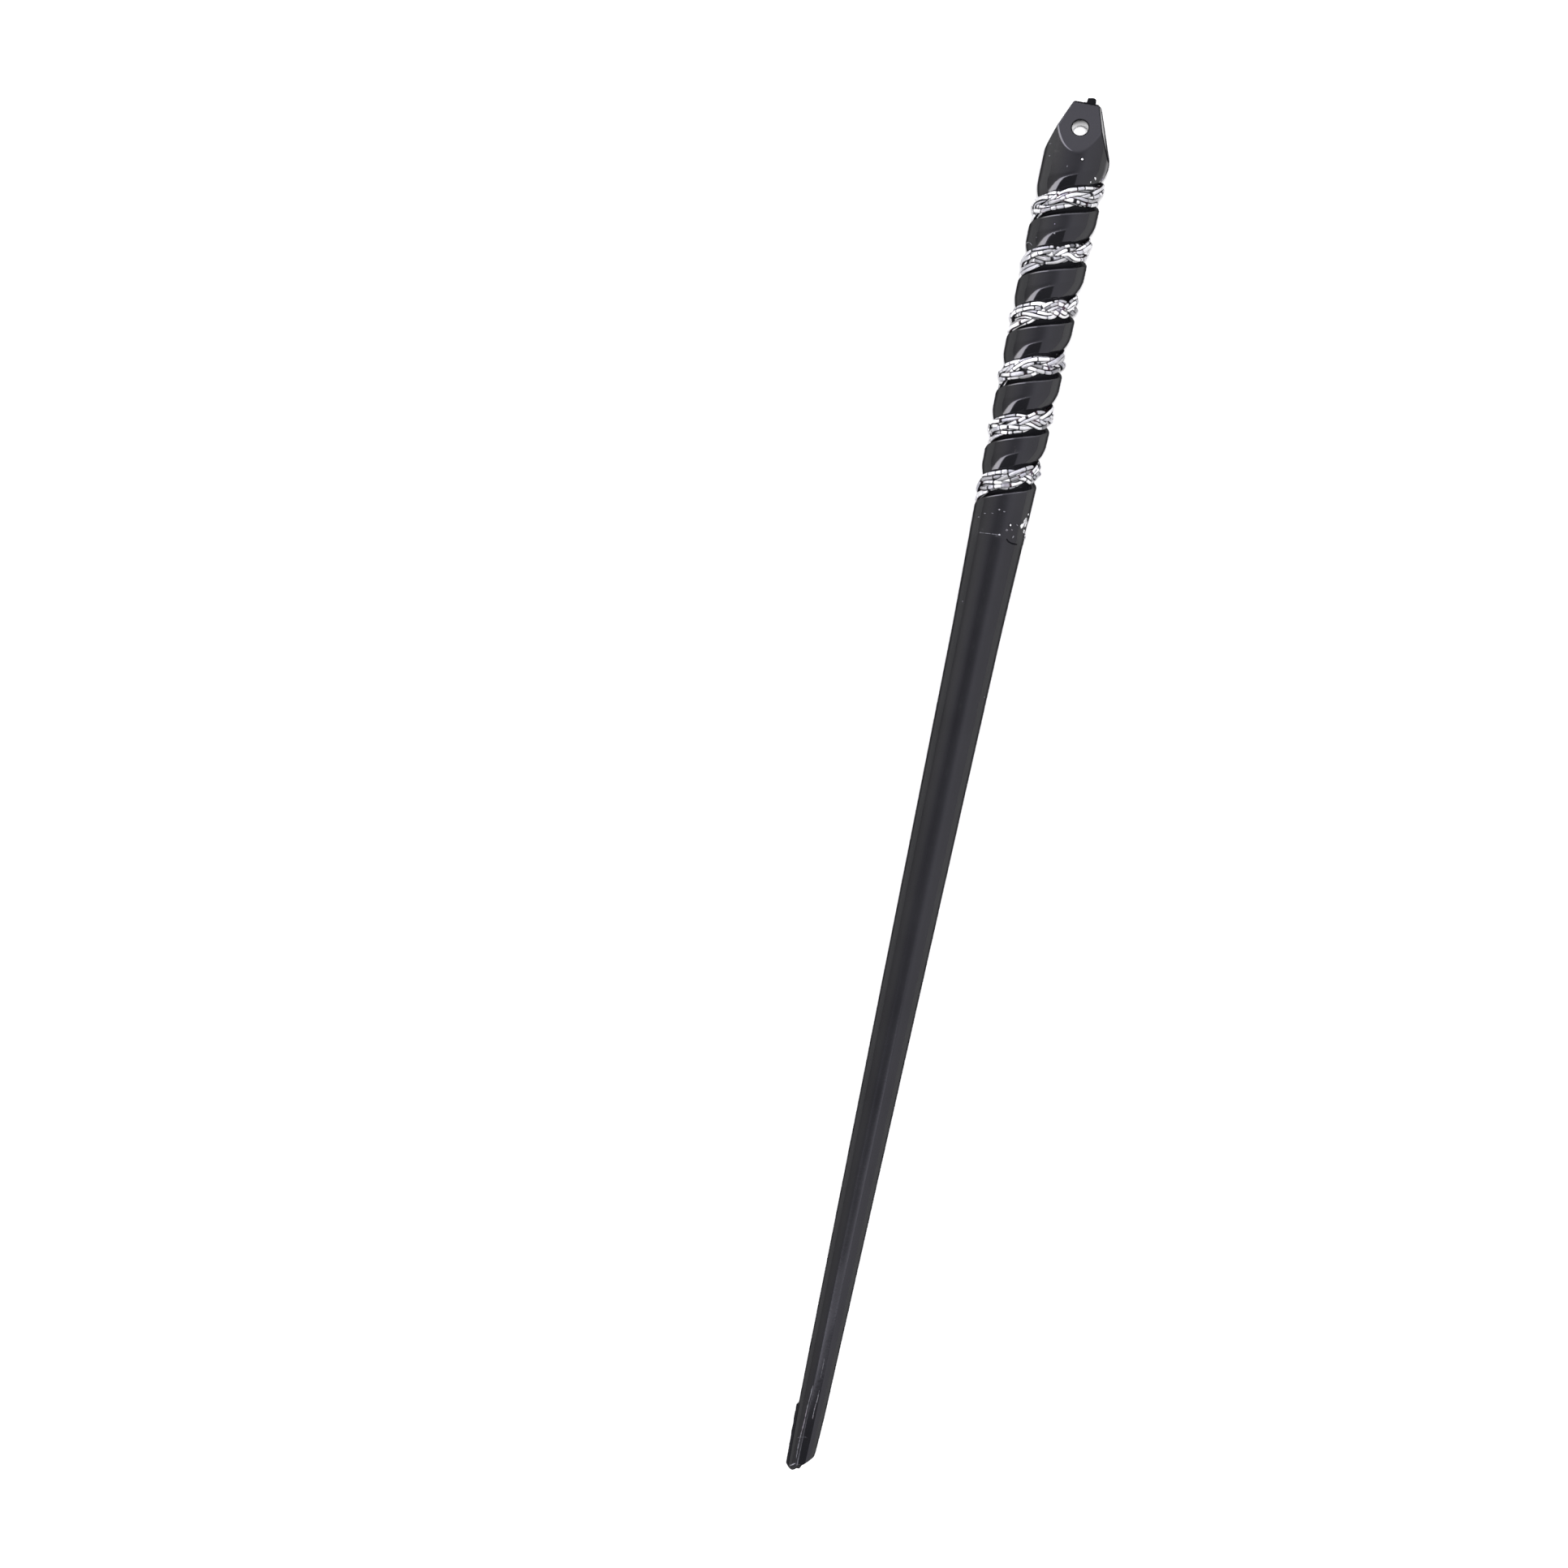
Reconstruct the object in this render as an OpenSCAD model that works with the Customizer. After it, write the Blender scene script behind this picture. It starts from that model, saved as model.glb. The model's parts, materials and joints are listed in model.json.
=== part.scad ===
// Hair stick: one moulded bar with a faceted knob, an eye for a charm, a spiral
// groove round the handle, a tapered shaft, and a silver braid laid in the groove.
// The bar lies along X with the tip at low X and the knob at high X, top side up.
// It rests on the tip and on the lowest turn of the braid, as it does by itself.

/* [Bar] */
// Length from the tip to the knob's end face
stick_len = 180; // [120:1:240]
// Thickness of the bar at the top of the handle
bar_d = 8.56; // [6:0.02:12]
// Thickness of the shaft at its tip end, before the last easing
tip_d = 3.42; // [2:0.02:5]
// Thickness where the straight taper ends and the handle's flare begins
taper_d = 6.4; // [4:0.05:9]
// How much the radius eases in over the last part of the tip
tip_ease = 0.22; // [0:0.01:0.3]
// Length over which the tip eases in
tip_ease_len = 10; // [4:0.5:20]
// Length over which the handle flares from the taper to the full bar
flare_len = 61.9; // [60:0.1:80]
// Length of the handle, from the end face to the seam under it
handle_len = 56.7; // [50:0.1:64]
// Length from the tip over which the flats on top and underneath fade out
flat_len = 100; // [20:1:110]

/* [Tip] */
// Slope of the broken end on its long side, in degrees
chip_angle = 44; // [20:1:55]
// How far beside the middle that slope begins
chip_from = 0.5; // [0:0.05:1]
// Width of the rounded corner on the other side
tip_round = 0.7; // [0:0.05:1.2]
// How far the flash stands out from the side of the tip
flash_rise = 0.28; // [0:0.02:0.4]
// Length of the flash along the side, from the broken end
flash_len = 8.3; // [4:0.1:12]

/* [Knob] */
// Half width of the square end face
end_half = 1.76; // [1.2:0.02:3]
// Inward slope of the four facets, in degrees
facet_angle = 20.5; // [12:0.1:32]
// Lean of the two side facets away from the parting plane, in degrees
side_draft = 3.4; // [0:0.1:8]
// Turn of the knob's facets round the bar, in degrees
knob_roll = 9; // [0:0.5:12]
// Diameter of the eye for a charm
eye_d = 2.1; // [1.2:0.05:3]
// Distance of the eye's centre from the end face
eye_back = 3.5; // [2.2:0.02:4.5]
// Turn of the eye round the bar, in degrees
eye_turn = 4; // [0:0.5:12]
// Diameter of the sprue left on the end face
sprue_d = 1.4; // [0.6:0.05:2]
// Height of the sprue
sprue_h = 0.7; // [0.1:0.05:1.2]
// How far the sprue stands beside the axis
sprue_off = 0.5; // [0:0.05:1]
// Plain bar between the facets and the groove's end
knob_land = 0.32; // [0.2:0.02:3]

/* [Groove] */
// Advance of the groove in one turn
pitch = 7.3; // [6.6:0.02:9]
// Depth of the groove
groove_depth = 1.3; // [0.8:0.05:1.8]
// Half width of the groove's steep side, from its middle to the rim
steep_half = 1.94; // [1.5:0.02:2.2]
// Half width of the groove's long shoulder, from its middle to the rim
shoulder_half = 3.6; // [2.8:0.05:4.2]

/* [Braid] */
// Clearance between the braid and the groove
braid_gap = 0.12; // [0.05:0.01:0.3]
// How far the braid stands above the ridges
braid_proud = 0.16; // [0:0.02:0.5]
// Height of the raised strands
strand_relief = 0.1; // [0:0.01:0.2]
// Length of one plait of the braid along the groove
plait_len = 4.2; // [2.5:0.1:8]

/* [Hidden] */
columns = 32;
step = 360 / columns;
ramp = 5;
bar_r = bar_d / 2;
knob_sink = 0.03;
knob_margin = 0.25;
knob_overlap = 0.6 * knob_margin;
knob_x = stick_len - (bar_r - end_half) / tan(facet_angle) - knob_land;
taper_end = knob_x - flare_len;
seam_x = stick_len - handle_len;

// Flare of the handle: share of the way along it, share of the rise to the full bar
flare = [[0, 0], [0.07, 0.105], [0.135, 0.205], [0.2, 0.315], [0.26, 0.41], [0.32, 0.495],
    [0.39, 0.59], [0.51, 0.705], [0.61, 0.795], [0.71, 0.862], [0.85, 0.925], [1, 1]];

// Section of the groove: side of the middle (-1 steep, 1 shoulder), share of that half
// width, share of the depth
groove = [[-1, 1, 0], [-1, 0.865, 0.1], [-1, 0.775, 0.42], [-1, 0.5, 0.885], [-1, 0, 1],
    [1, 0.25, 0.885], [1, 0.455, 0.525], [1, 0.62, 0.277], [1, 0.82, 0.08], [1, 1, 0]];
stations = len(groove);

// Upper side of the braid from its shoulder edge to its steep edge: side of the middle,
// share of that half width, share of the depth, share of the rise, share of the relief
braid_top = [[1, 0.5, 0.25, 0, 0], [1, 0.37, 0, 0.35, 0.8], [1, 0.22, 0, 0.85, 1],
    [1, 0.06, 0, 1, 1], [-1, 0.22, 0, 0.85, 1], [-1, 0.55, 0, 0.35, 0.8]];

// Radius of the bar without its groove, at a distance from the tip
function taper_r(x) = (tip_d + (taper_d - tip_d) * x / taper_end) / 2
    - tip_ease * pow(max(0, 1 - x / tip_ease_len), 2);
function flare_r(x) = taper_d / 2
    + (bar_r - taper_d / 2) * lookup((x - taper_end) / flare_len, flare);
function body_r(x) = x < taper_end ? taper_r(x) : flare_r(x);

// Height of a section point with the fading flats on top and underneath
function flat_z(x, r, a) =
    let (z = r * cos(a), top = r * cos(1.5 * step), keep = min(1, x / flat_len))
    abs(z) > top + 0.001 ? sign(z) * (top + (abs(z) - top) * keep) : z;

// The flash rises on the one side in the parting plane
function flash_at(x, a) = abs(a - 270) < step && x < flash_len + 0.01 ? flash_rise : 0;

// The end of the tip: broken slantwise on one side, rounded on the other
function end_x(y) = y < chip_from ? (chip_from - y) * tan(chip_angle)
    : max(0, y - tip_d / 2 + tip_round) * 0.75;

function column_angle(k) = (k + 0.5) * step;
function shaft_point(x, k) =
    let (a = column_angle(k), r = body_r(x), w = r + flash_at(x, a))
    [x == 0 ? end_x(-r * sin(a)) : x, -w * sin(a), flat_z(x, r, a)];

// Rings of the shaft, from the tip to the seam line under the handle; between the flash
// and the end of the taper they stand at shares of that length
tip_ring = end_x(-tip_d / 2) + 0.5;
flash_end = flash_len + 0.25;
ring_share = [0.03, 0.08, 0.17, 0.3, 0.45, 0.65, 0.85];
ring_x = concat([0, tip_ring, (tip_ring + flash_len) / 2, flash_len, flash_end],
    [for (s = ring_share) flash_end + s * (taper_end - flash_end)],
    [taper_end, (taper_end + seam_x) / 2, seam_x]);
rings = len(ring_x);

// The groove runs from behind its lowest top crossing to behind its highest one, with as
// many whole turns between them as the handle holds
first_x = knob_x - shoulder_half - 0.322 * pitch;
turns_between = floor((first_x - seam_x - 0.9 - 0.8 * pitch) / pitch);
last_x = first_x - turns_between * pitch;
start_col = -26;
steps = turns_between * columns + 42;
function groove_angle(q) = column_angle(start_col + q);
function groove_x(q) = last_x + pitch * groove_angle(q) / 360;
function ease(t) = t * t * (3 - 2 * t);
function fade(q) = ease(max(0, min(1, q / ramp, (steps - q) / ramp)));
function half_width(side, q) = side < 0 ? -steep_half
    : min(shoulder_half, knob_x - knob_margin - groove_x(q));
function groove_point(q, j) =
    let (g = groove[j], x = groove_x(q) + half_width(g[0], q) * g[1] * (0.35 + 0.65 * fade(q)),
        r = body_r(x) - groove_depth * g[2] * fade(q), a = groove_angle(q))
    [x, -r * sin(a), r * cos(a)];

// Grooved part of the handle as one mesh that follows the spiral
function top_point(k) =
    let (a = column_angle(k), r = body_r(knob_x))
    [knob_x, -r * sin(a), r * cos(a)];
shaft_points = [for (i = [0 : rings - 1]) for (k = [0 : columns - 1]) shaft_point(ring_x[i], k)];
groove_points = [for (q = [0 : steps]) for (j = [0 : stations - 1]) groove_point(q, j)];
top_points = [for (k = [0 : columns - 1]) top_point(k)];
bar_points = concat(shaft_points, groove_points, top_points);

function wrap(k) = (k + 4 * columns) % columns;
function on_ring(i, k) = i * columns + wrap(k);
function on_groove(q, j) = rings * columns + q * stations + j;
function on_top(k) = rings * columns + (steps + 1) * stations + wrap(k);
function tip_top(i) = on_ring(0, columns / 4 - 1 - i);
function tip_low(i) = on_ring(0, columns / 4 + i);

// The point above a given one of the groove mesh: next in its section, then the next turn
function above(q, j) = j < stations - 1 ? on_groove(q, j + 1)
    : q + columns <= steps ? on_groove(q + columns, 0)
    : on_top(start_col + q);

tip_faces = [for (i = [0 : columns / 2 - 2]) [tip_top(i + 1), tip_top(i), tip_low(i), tip_low(i + 1)]];
ring_faces = [for (i = [0 : rings - 2]) for (k = [0 : columns - 1]) each
    [[on_ring(i, k), on_ring(i + 1, k), on_ring(i + 1, k + 1)],
    [on_ring(i, k), on_ring(i + 1, k + 1), on_ring(i, k + 1)]]];

// Below the lowest turn, down to the seam line
low_faces = [for (k = [0 : columns - 2]) each
    [[on_ring(rings - 1, start_col + k), on_groove(k, 0), on_groove(k + 1, 0)],
    [on_ring(rings - 1, start_col + k), on_groove(k + 1, 0), on_ring(rings - 1, start_col + k + 1)]]];
low_chain = concat([on_ring(rings - 1, start_col)],
    [for (j = [0 : stations - 1]) on_groove(0, j)], [on_groove(columns, 0)]);
low_seam = concat(
    [[on_ring(rings - 1, start_col + columns - 1), on_groove(columns - 1, 0), low_chain[0]]],
    [for (i = [0 : len(low_chain) - 2]) [on_groove(columns - 1, 0), low_chain[i + 1], low_chain[i]]]);

// The spiral itself; the strip where the last turn ends is closed by a fan
spiral_faces = [for (q = [0 : steps - 1]) for (j = [0 : stations - 1])
    if (!(j == stations - 1 && q == steps - columns)) each
    [[on_groove(q, j), above(q, j), above(q + 1, j)],
    [on_groove(q, j), above(q + 1, j), on_groove(q + 1, j)]]];
fan_q = steps - columns;
high_chain = concat([on_groove(fan_q, stations - 1)],
    [for (j = [0 : stations - 1]) on_groove(steps, j)], [on_top(start_col + steps)]);
high_seam = concat(
    [for (i = [0 : len(high_chain) - 2])
        [high_chain[i], high_chain[i + 1], on_groove(fan_q + 1, stations - 1)]],
    [[high_chain[len(high_chain) - 1], on_top(start_col + steps + 1),
        on_groove(fan_q + 1, stations - 1)]]);
cap_face = [[for (k = [columns - 1 : -1 : 0]) on_top(k)]];
bar_faces = concat(tip_faces, ring_faces, low_faces, low_seam, spiral_faces, high_seam, cap_face);

// Section of the groove as distances along the axis and above the ridges
function seat(j, q) = [half_width(groove[j][0], q) * groove[j][1], -groove_depth * groove[j][2]];
function unit(v) = v / norm(v);
function seat_normal(j, q) =
    let (t = unit(unit(seat(j, q) - seat(j - 1, q)) + unit(seat(j + 1, q) - seat(j, q))))
    [-t[1], t[0]];
low_count = 6;
top_count = len(braid_top);
braid_count = low_count + top_count;

// The plait: three raised strands that change places along the braid
function plait(q, u) =
    let (along = 360 * groove_x(q) / pitch * 2 * PI * bar_r / plait_len)
    cos(200 * u + along) * cos(200 * u - along + 60);
function braid_section(q, i) = i < low_count
    ? seat(i + 1, q) + braid_gap * seat_normal(i + 1, q)
    : let (b = braid_top[i - low_count])
    [half_width(b[0], q) * b[1],
        braid_proud * b[3] - groove_depth * b[2] + strand_relief * b[4] * plait(q, b[0] * b[1])];
braid_from = ramp + 1;
braid_to = steps - ramp - 1;
function braid_point(q, i) =
    let (b = braid_section(q, i), x = groove_x(q) + b[0], r = body_r(x) + b[1], a = groove_angle(q))
    [x, -r * sin(a), r * cos(a)];
braid_points = [for (q = [braid_from : braid_to]) for (i = [0 : braid_count - 1]) braid_point(q, i)];
function on_braid(q, i) = (q - braid_from) * braid_count + i % braid_count;
braid_side = [for (q = [braid_from : braid_to - 1]) for (i = [0 : braid_count - 1]) each
    [[on_braid(q, i + 1), on_braid(q, i), on_braid(q + 1, i)],
    [on_braid(q, i + 1), on_braid(q + 1, i), on_braid(q + 1, i + 1)]]];
function braid_cap(q, flip) = [for (i = [0 : low_count - 2])
    let (f = [on_braid(q, i), on_braid(q, i + 1), on_braid(q, braid_count - 2 - i),
        on_braid(q, braid_count - 1 - i)])
    flip ? [f[3], f[2], f[1], f[0]] : f];
braid_faces = concat(braid_side, braid_cap(braid_from, false), braid_cap(braid_to, true));

// Rest: the bar leans until the tip and the braid both touch the surface
function raised(p, t) = p[0] * sin(t) + p[2] * cos(t);
function lowest(points, t) = min([for (p = points) raised(p, t)]);
rest_span = last_x;
function settle(t, n) = n == 0 ? t
    : settle(t + atan((lowest(shaft_points, t) - lowest(braid_points, t)) / rest_span), n - 1);
rest_angle = settle(1, 5);
floor_z = min(lowest(shaft_points, rest_angle), lowest(braid_points, rest_angle));
function along_floor(p, t) = p[0] * cos(t) - p[2] * sin(t);
tip_end = min([for (p = shaft_points) along_floor(p, rest_angle)]);
sprue_end = along_floor([stick_len + sprue_h, 0, -0.42 * sprue_d], rest_angle);
middle_x = (tip_end + sprue_end) / 2;

// Turns a shape made along Z to lie along the bar, at a distance from the tip
module along_bar(x) {
    translate([x, 0, 0])
        rotate([0, 90, 0])
            children();
}

// Leans the bar to its rest and puts the middle of its length over the origin
module laid() {
    translate([-middle_x, 0, -floor_z])
        rotate([0, -rest_angle, 0])
            children();
}

// Six corners of the knob's section, widest in the parting plane
function knob_section(x, half) =
    let (flat = half * (1 - tan(side_draft)))
    [[x, half, 0], [x, flat, half], [x, -flat, half], [x, -half, 0], [x, -flat, -half],
        [x, flat, -half]];

// The eye meets the top facet in its middle, though the two are turned differently
module knob() {
    knob_r = bar_r * cos(step / 2) - knob_sink;
    body_h = stick_len - knob_x + knob_overlap;
    reach = body_h + 1;
    wide = end_half + reach * tan(facet_angle);
    eye_half = end_half + eye_back * tan(facet_angle);
    eye_side = eye_half * (sin(knob_roll) - cos(knob_roll) * tan(eye_turn));
    difference() {
        intersection() {
            along_bar(knob_x - knob_overlap)
                cylinder(h = body_h, r = knob_r, $fn = 96);
            rotate([-knob_roll, 0, 0]) polyhedron(
                points = concat(knob_section(stick_len - reach, wide),
                    knob_section(stick_len, end_half)),
                faces = concat([[0, 1, 2, 3, 4, 5], [11, 10, 9, 8, 7, 6]],
                    [for (k = [0 : 5]) let (n = (k + 1) % 6) [k, 6 + k, 6 + n, n]]));
        }
        translate([stick_len - eye_back, eye_side, 0])
            rotate([-eye_turn, 0, 0])
                cylinder(h = 2 * bar_d, d = eye_d, center = true, $fn = 64);
    }
}

module sprue() {
    translate([0, -sprue_off, 0])
        along_bar(stick_len - 0.3)
            cylinder(h = sprue_h + 0.3, r1 = sprue_d / 2, r2 = 0.42 * sprue_d, $fn = 24);
}

module stick() {
    color([0.05, 0.05, 0.055])
        laid()
            union() {
                polyhedron(points = bar_points, faces = bar_faces, convexity = 10);
                knob();
                sprue();
            }
}

module braid_band() {
    color([0.82, 0.82, 0.84])
        laid()
            polyhedron(points = braid_points, faces = braid_faces, convexity = 10);
}

stick();
braid_band();
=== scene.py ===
import json
import math

import bpy
import numpy as np
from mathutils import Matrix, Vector
from mathutils.bvhtree import BVHTree


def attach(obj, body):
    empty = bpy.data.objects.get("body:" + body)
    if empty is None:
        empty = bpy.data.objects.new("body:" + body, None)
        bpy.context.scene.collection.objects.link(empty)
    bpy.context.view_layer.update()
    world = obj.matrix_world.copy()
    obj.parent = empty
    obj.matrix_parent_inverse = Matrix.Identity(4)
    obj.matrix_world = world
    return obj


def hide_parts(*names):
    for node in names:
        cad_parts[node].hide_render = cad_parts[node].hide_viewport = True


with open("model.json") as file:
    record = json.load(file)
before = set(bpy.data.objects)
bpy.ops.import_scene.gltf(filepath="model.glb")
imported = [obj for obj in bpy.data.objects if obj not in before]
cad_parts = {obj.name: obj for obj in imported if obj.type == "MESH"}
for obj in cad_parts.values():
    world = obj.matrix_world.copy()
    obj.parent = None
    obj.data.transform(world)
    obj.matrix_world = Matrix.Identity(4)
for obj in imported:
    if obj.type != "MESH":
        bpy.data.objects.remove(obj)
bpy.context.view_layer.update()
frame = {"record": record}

# Everything is modelled in bar coordinates, in millimetres: x runs from the tip to the end of
# the knob, z points up and y to the left as the camera sees it. An angle round the bar is
# counted in degrees from +z towards -y. lay() takes such points to the row frame, in metres.
LENGTH, EYE_BACK, EYE_R = 180.0, 3.5, 1.05
eye = next(m for m in frame["record"]["mounts"] if m["name"] == "charm_eye")
TILT = math.atan2(-eye["axis"][0], eye["axis"][2])
EYE_TURN, EYE_Y = math.asin(eye["axis"][1]), 1000 * eye["pos_m"][1]
KNOB_ROLL = math.radians(9)
SHIFT_X = 1000 * eye["pos_m"][0] - (LENGTH - EYE_BACK) * math.cos(TILT)
SHIFT_Z = 1000 * eye["pos_m"][2] - (LENGTH - EYE_BACK) * math.sin(TILT)


def lay(p):
    p = np.asarray(p, float)
    x, y, z = p[..., 0], p[..., 1], p[..., 2]
    c, s = math.cos(TILT), math.sin(TILT)
    return np.stack([x * c - z * s + SHIFT_X, y, x * s + z * c + SHIFT_Z], -1) / 1000


def polar(x, a, r):
    """Points at angle a (degrees) and radius r round the bar's axis."""
    x, a, r = np.broadcast_arrays(x, np.radians(a), r)
    return np.stack([x, -r * np.sin(a), r * np.cos(a)], -1)


def turned(a):
    """The same angle between -180 and 180."""
    return (np.asarray(a) + 180) % 360 - 180


def smooth(t):
    """Smooth rise from 0 at t = 0 to 1 at t = 1."""
    t = np.clip(t, 0, 1)
    return t * t * (3 - 2 * t)


def waves(seed, lengths, along, *others):
    """Smooth noise of size about 1: sines of the given lengths, bent by other coordinates."""
    r = np.random.default_rng(seed)
    total = 0
    for length in lengths:
        phase = r.uniform(0, 2 * math.pi)
        turn = r.uniform(0, 2 * math.pi)
        bend = sum(np.asarray(c) * r.uniform(-1.5, 1.5) for c in others)
        size = 0.8 + 0.2 * math.cos(turn)
        total = total + np.sin(2 * math.pi * along / length + bend + phase) * size
    return total / math.sqrt(len(lengths))


# Sizes of the bar, as the solids have them
BAR_R, TIP_D, TAPER_D = 4.28, 3.42, 6.4
END_HALF, FACET, KNOB_LAND = 1.76, math.radians(20.5), 0.32
SIDE_DRAFT = math.tan(math.radians(3.4))
KNOB_X = LENGTH - (BAR_R - END_HALF) / math.tan(FACET) - KNOB_LAND
FLARE_LEN, HANDLE_LEN = 61.9, 56.7
TAPER_END, SEAM_X = KNOB_X - FLARE_LEN, LENGTH - HANDLE_LEN
PITCH, DEPTH, STEEP, SHOULDER = 7.3, 1.3, 1.94, 3.6
FIRST_X = KNOB_X - SHOULDER - 0.322 * PITCH
LAST_X = FIRST_X - 5 * PITCH
GROOVE_FROM, GROOVE_TO, FADE_DEG = -286.9, 1985.6, 56.25
TIP_FLAT_LEN = 100.0
CHIP, CHIP_FROM = math.tan(math.radians(44)), 0.5
FLASH_FROM, FLASH_TO, FLASH_RISE = 0.35, 8.25, 0.29
FLASH_DEG, FLASH_HALF_DEG, FLASH_EDGE_DEG = 269, 5.5, 5
LINE_TURN, LINE_DEG, LINE_RISE = 4, 0.9, 0.028

# The bar's radius along its length: a taper and a flare, blended into each other, fuller just
# under the knob and thinner at the very tip
FLARE = np.array([[0, 0], [.07, .105], [.135, .205], [.2, .315], [.26, .41], [.32, .495],
                  [.39, .59], [.51, .705], [.61, .795], [.71, .862], [.85, .925], [1, 1]])
FINE_STEP, BLEND, BLEND_STEPS = 0.25, 2.6, 40
FULL_LEN, FULLER = 9, 0.02
TIP_LEN, THINNER = 10, 0.22
fine_x = np.arange(-20, 200, FINE_STEP)
plain = np.where(
    fine_x < TAPER_END,
    (TIP_D + (TAPER_D - TIP_D) * fine_x / TAPER_END) / 2,
    TAPER_D / 2 + (BAR_R - TAPER_D / 2) * np.interp((fine_x - TAPER_END) / FLARE_LEN, *FLARE.T))
bell = np.exp(-0.5 * (np.arange(-BLEND_STEPS, BLEND_STEPS + 1) * FINE_STEP / BLEND) ** 2)
fine_r = np.convolve(np.pad(plain, BLEND_STEPS, "edge"), bell / bell.sum(), "valid")
full_r = np.minimum(fine_r + FULLER * smooth((fine_x - KNOB_X + FULL_LEN) / FULL_LEN), BAR_R)
fine_r = np.where(fine_x > KNOB_X - FULL_LEN, full_r, fine_r)
fine_r = np.where(fine_x < TIP_LEN,
                  fine_r - THINNER * np.maximum(0, 1 - fine_x / TIP_LEN) ** 2, fine_r)


def body_r(x):
    return np.interp(x, fine_x, fine_r)


# The groove: its middle line, its fading ends and its section, steep towards the tip and with a
# long shoulder towards the knob
SECTION = np.array([
    [-1.10, 0], [-1.0, .006], [-.93, .035], [-.865, .13], [-.81, .32], [-.74, .55], [-.62, .79],
    [-.42, .93], [0, 1], [.14, .975], [.27, .87], [.37, .70], [.455, .53], [.54, .385],
    [.62, .272], [.72, .162], [.82, .082], [.92, .026], [1.0, .004], [1.08, 0]])


def groove_x(a):
    return LAST_X + PITCH * np.asarray(a) / 360


def groove_fade(a):
    return smooth(np.minimum((a - GROOVE_FROM) / FADE_DEG, (GROOVE_TO - a) / FADE_DEG))


def narrowed(fade):
    """The share of its width that the groove keeps where its depth has faded."""
    return 0.35 + 0.65 * fade


def groove_shoulder(a):
    """Width of the shoulder, which the knob cuts short on the last turn."""
    return np.minimum(SHOULDER, KNOB_X - 0.25 - groove_x(a))


def section_depth(share):
    """Depth of the groove's section as a share, smooth through the rows of SECTION."""
    x, y = SECTION.T
    m = np.gradient(y, x)
    share = np.clip(share, x[0], x[-1])
    i = np.clip(np.searchsorted(x, share) - 1, 0, len(x) - 2)
    h = x[i + 1] - x[i]
    t = (share - x[i]) / h
    return ((2 * t**3 - 3 * t**2 + 1) * y[i] + (t**3 - 2 * t**2 + t) * h * m[i]
            + (-2 * t**3 + 3 * t**2) * y[i + 1] + (t**3 - t**2) * h * m[i + 1])


# Columns of the mesh round the bar: even, with closer ones at the mould's lines, which lie on
# the two sides, and at the edges of the flats
MOULD_LINES, FLAT_EDGE, FLAT_REACH = (86, 266), 18, 60
COLUMNS = np.sort(np.concatenate([
    np.arange(0, 360, 3.0),
    [c + d for c in MOULD_LINES for d in (-1.0, -0.45, 0.45, 1.0)],
    [c + d for c in (FLAT_EDGE, 180 - FLAT_EDGE, 180 + FLAT_EDGE, 360 - FLAT_EDGE)
     for d in (-0.8, 0.8)]]))
NC = len(COLUMNS)


def roll(x):
    """How far the tip's upper flat is turned about the bar."""
    return 3.9 * smooth(1 - x / 30)


def flat_half(x):
    """Half width of a flat, in degrees round the bar."""
    return np.interp(x, [0, 25, 100], [17.6, 15.0, 15.0])


def flat_angle(x, a):
    """Columns near the two moulded flats are led along the flats' edges."""
    a = turned(a)
    off, half, middle = np.abs(a), flat_half(x), roll(x)
    rest = FLAT_REACH - FLAT_EDGE
    moved = a
    for side in (1, -1):
        edge = middle + side * half
        top = np.where(off <= FLAT_EDGE, middle + side * half * off / FLAT_EDGE,
                       edge + (side * FLAT_REACH - edge) * (off - FLAT_EDGE) / rest)
        low = side * np.where(
            off >= 180 - FLAT_EDGE, 180 - half * (180 - off) / FLAT_EDGE,
            180 - FLAT_REACH + (FLAT_REACH - half) * (off - 180 + FLAT_REACH) / rest)
        here = a * side >= 0
        moved = np.where(here & (off <= FLAT_REACH), top, moved)
        moved = np.where(here & (off >= 180 - FLAT_REACH), low, moved)
    return a + (moved - a) * smooth((75 - x) / 25)


def shaft_r(x, a):
    """Radius of the bar without its groove; a is the angle after flat_angle()."""
    r = body_r(x)
    half, gone = flat_half(x), np.clip(x / TIP_FLAT_LEN, 0, 1)
    for centre in (roll(x), 180.0):
        off = np.abs(turned(a - centre))
        flat = np.cos(np.radians(half)) / np.cos(np.radians(np.minimum(off, half)))
        r = r * np.where(off < half, 1 - (1 - flat) * (1 - gone), 1)
    from_line = np.abs(np.abs(turned(a + LINE_TURN)) - 90)
    line = LINE_RISE * smooth(1 - from_line / LINE_DEG) * (0.6 + 0.4 * waves(3, (7, 2.9), x))
    from_flash = np.abs(turned(a - FLASH_DEG))
    fin = FLASH_RISE * smooth(1 - (from_flash - FLASH_HALF_DEG) / FLASH_EDGE_DEG)
    fin = fin * smooth((x - FLASH_FROM) / 0.3 + 0.5) * smooth((FLASH_TO - x) / 0.35 + 0.5)
    fin = fin * (0.9 + 0.1 * waves(5, (1.9, 0.8), x))
    swell = 0.005 * waves(8, (31, 17, 11.3, 7.1), x, 0 * a) * np.sin(np.radians(a) + x / 23)
    swell = swell + 0.004 * np.sin(2 * np.radians(a) + x / 9.5 + 1.1) * waves(9, (23, 9), x)
    return r + line + fin + swell


SEAM_WANDER, SEAM_RISE, SEAM_LIP, SEAM_LIP_SHOWN = 0.12, 0.022, 0.006, 0.040
DENT_X, DENT_DEG, DENT_HALF, DENT_HALF_DEG, DENT_DEPTH = 124.35, 40, 1.5, 21, 0.10


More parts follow.
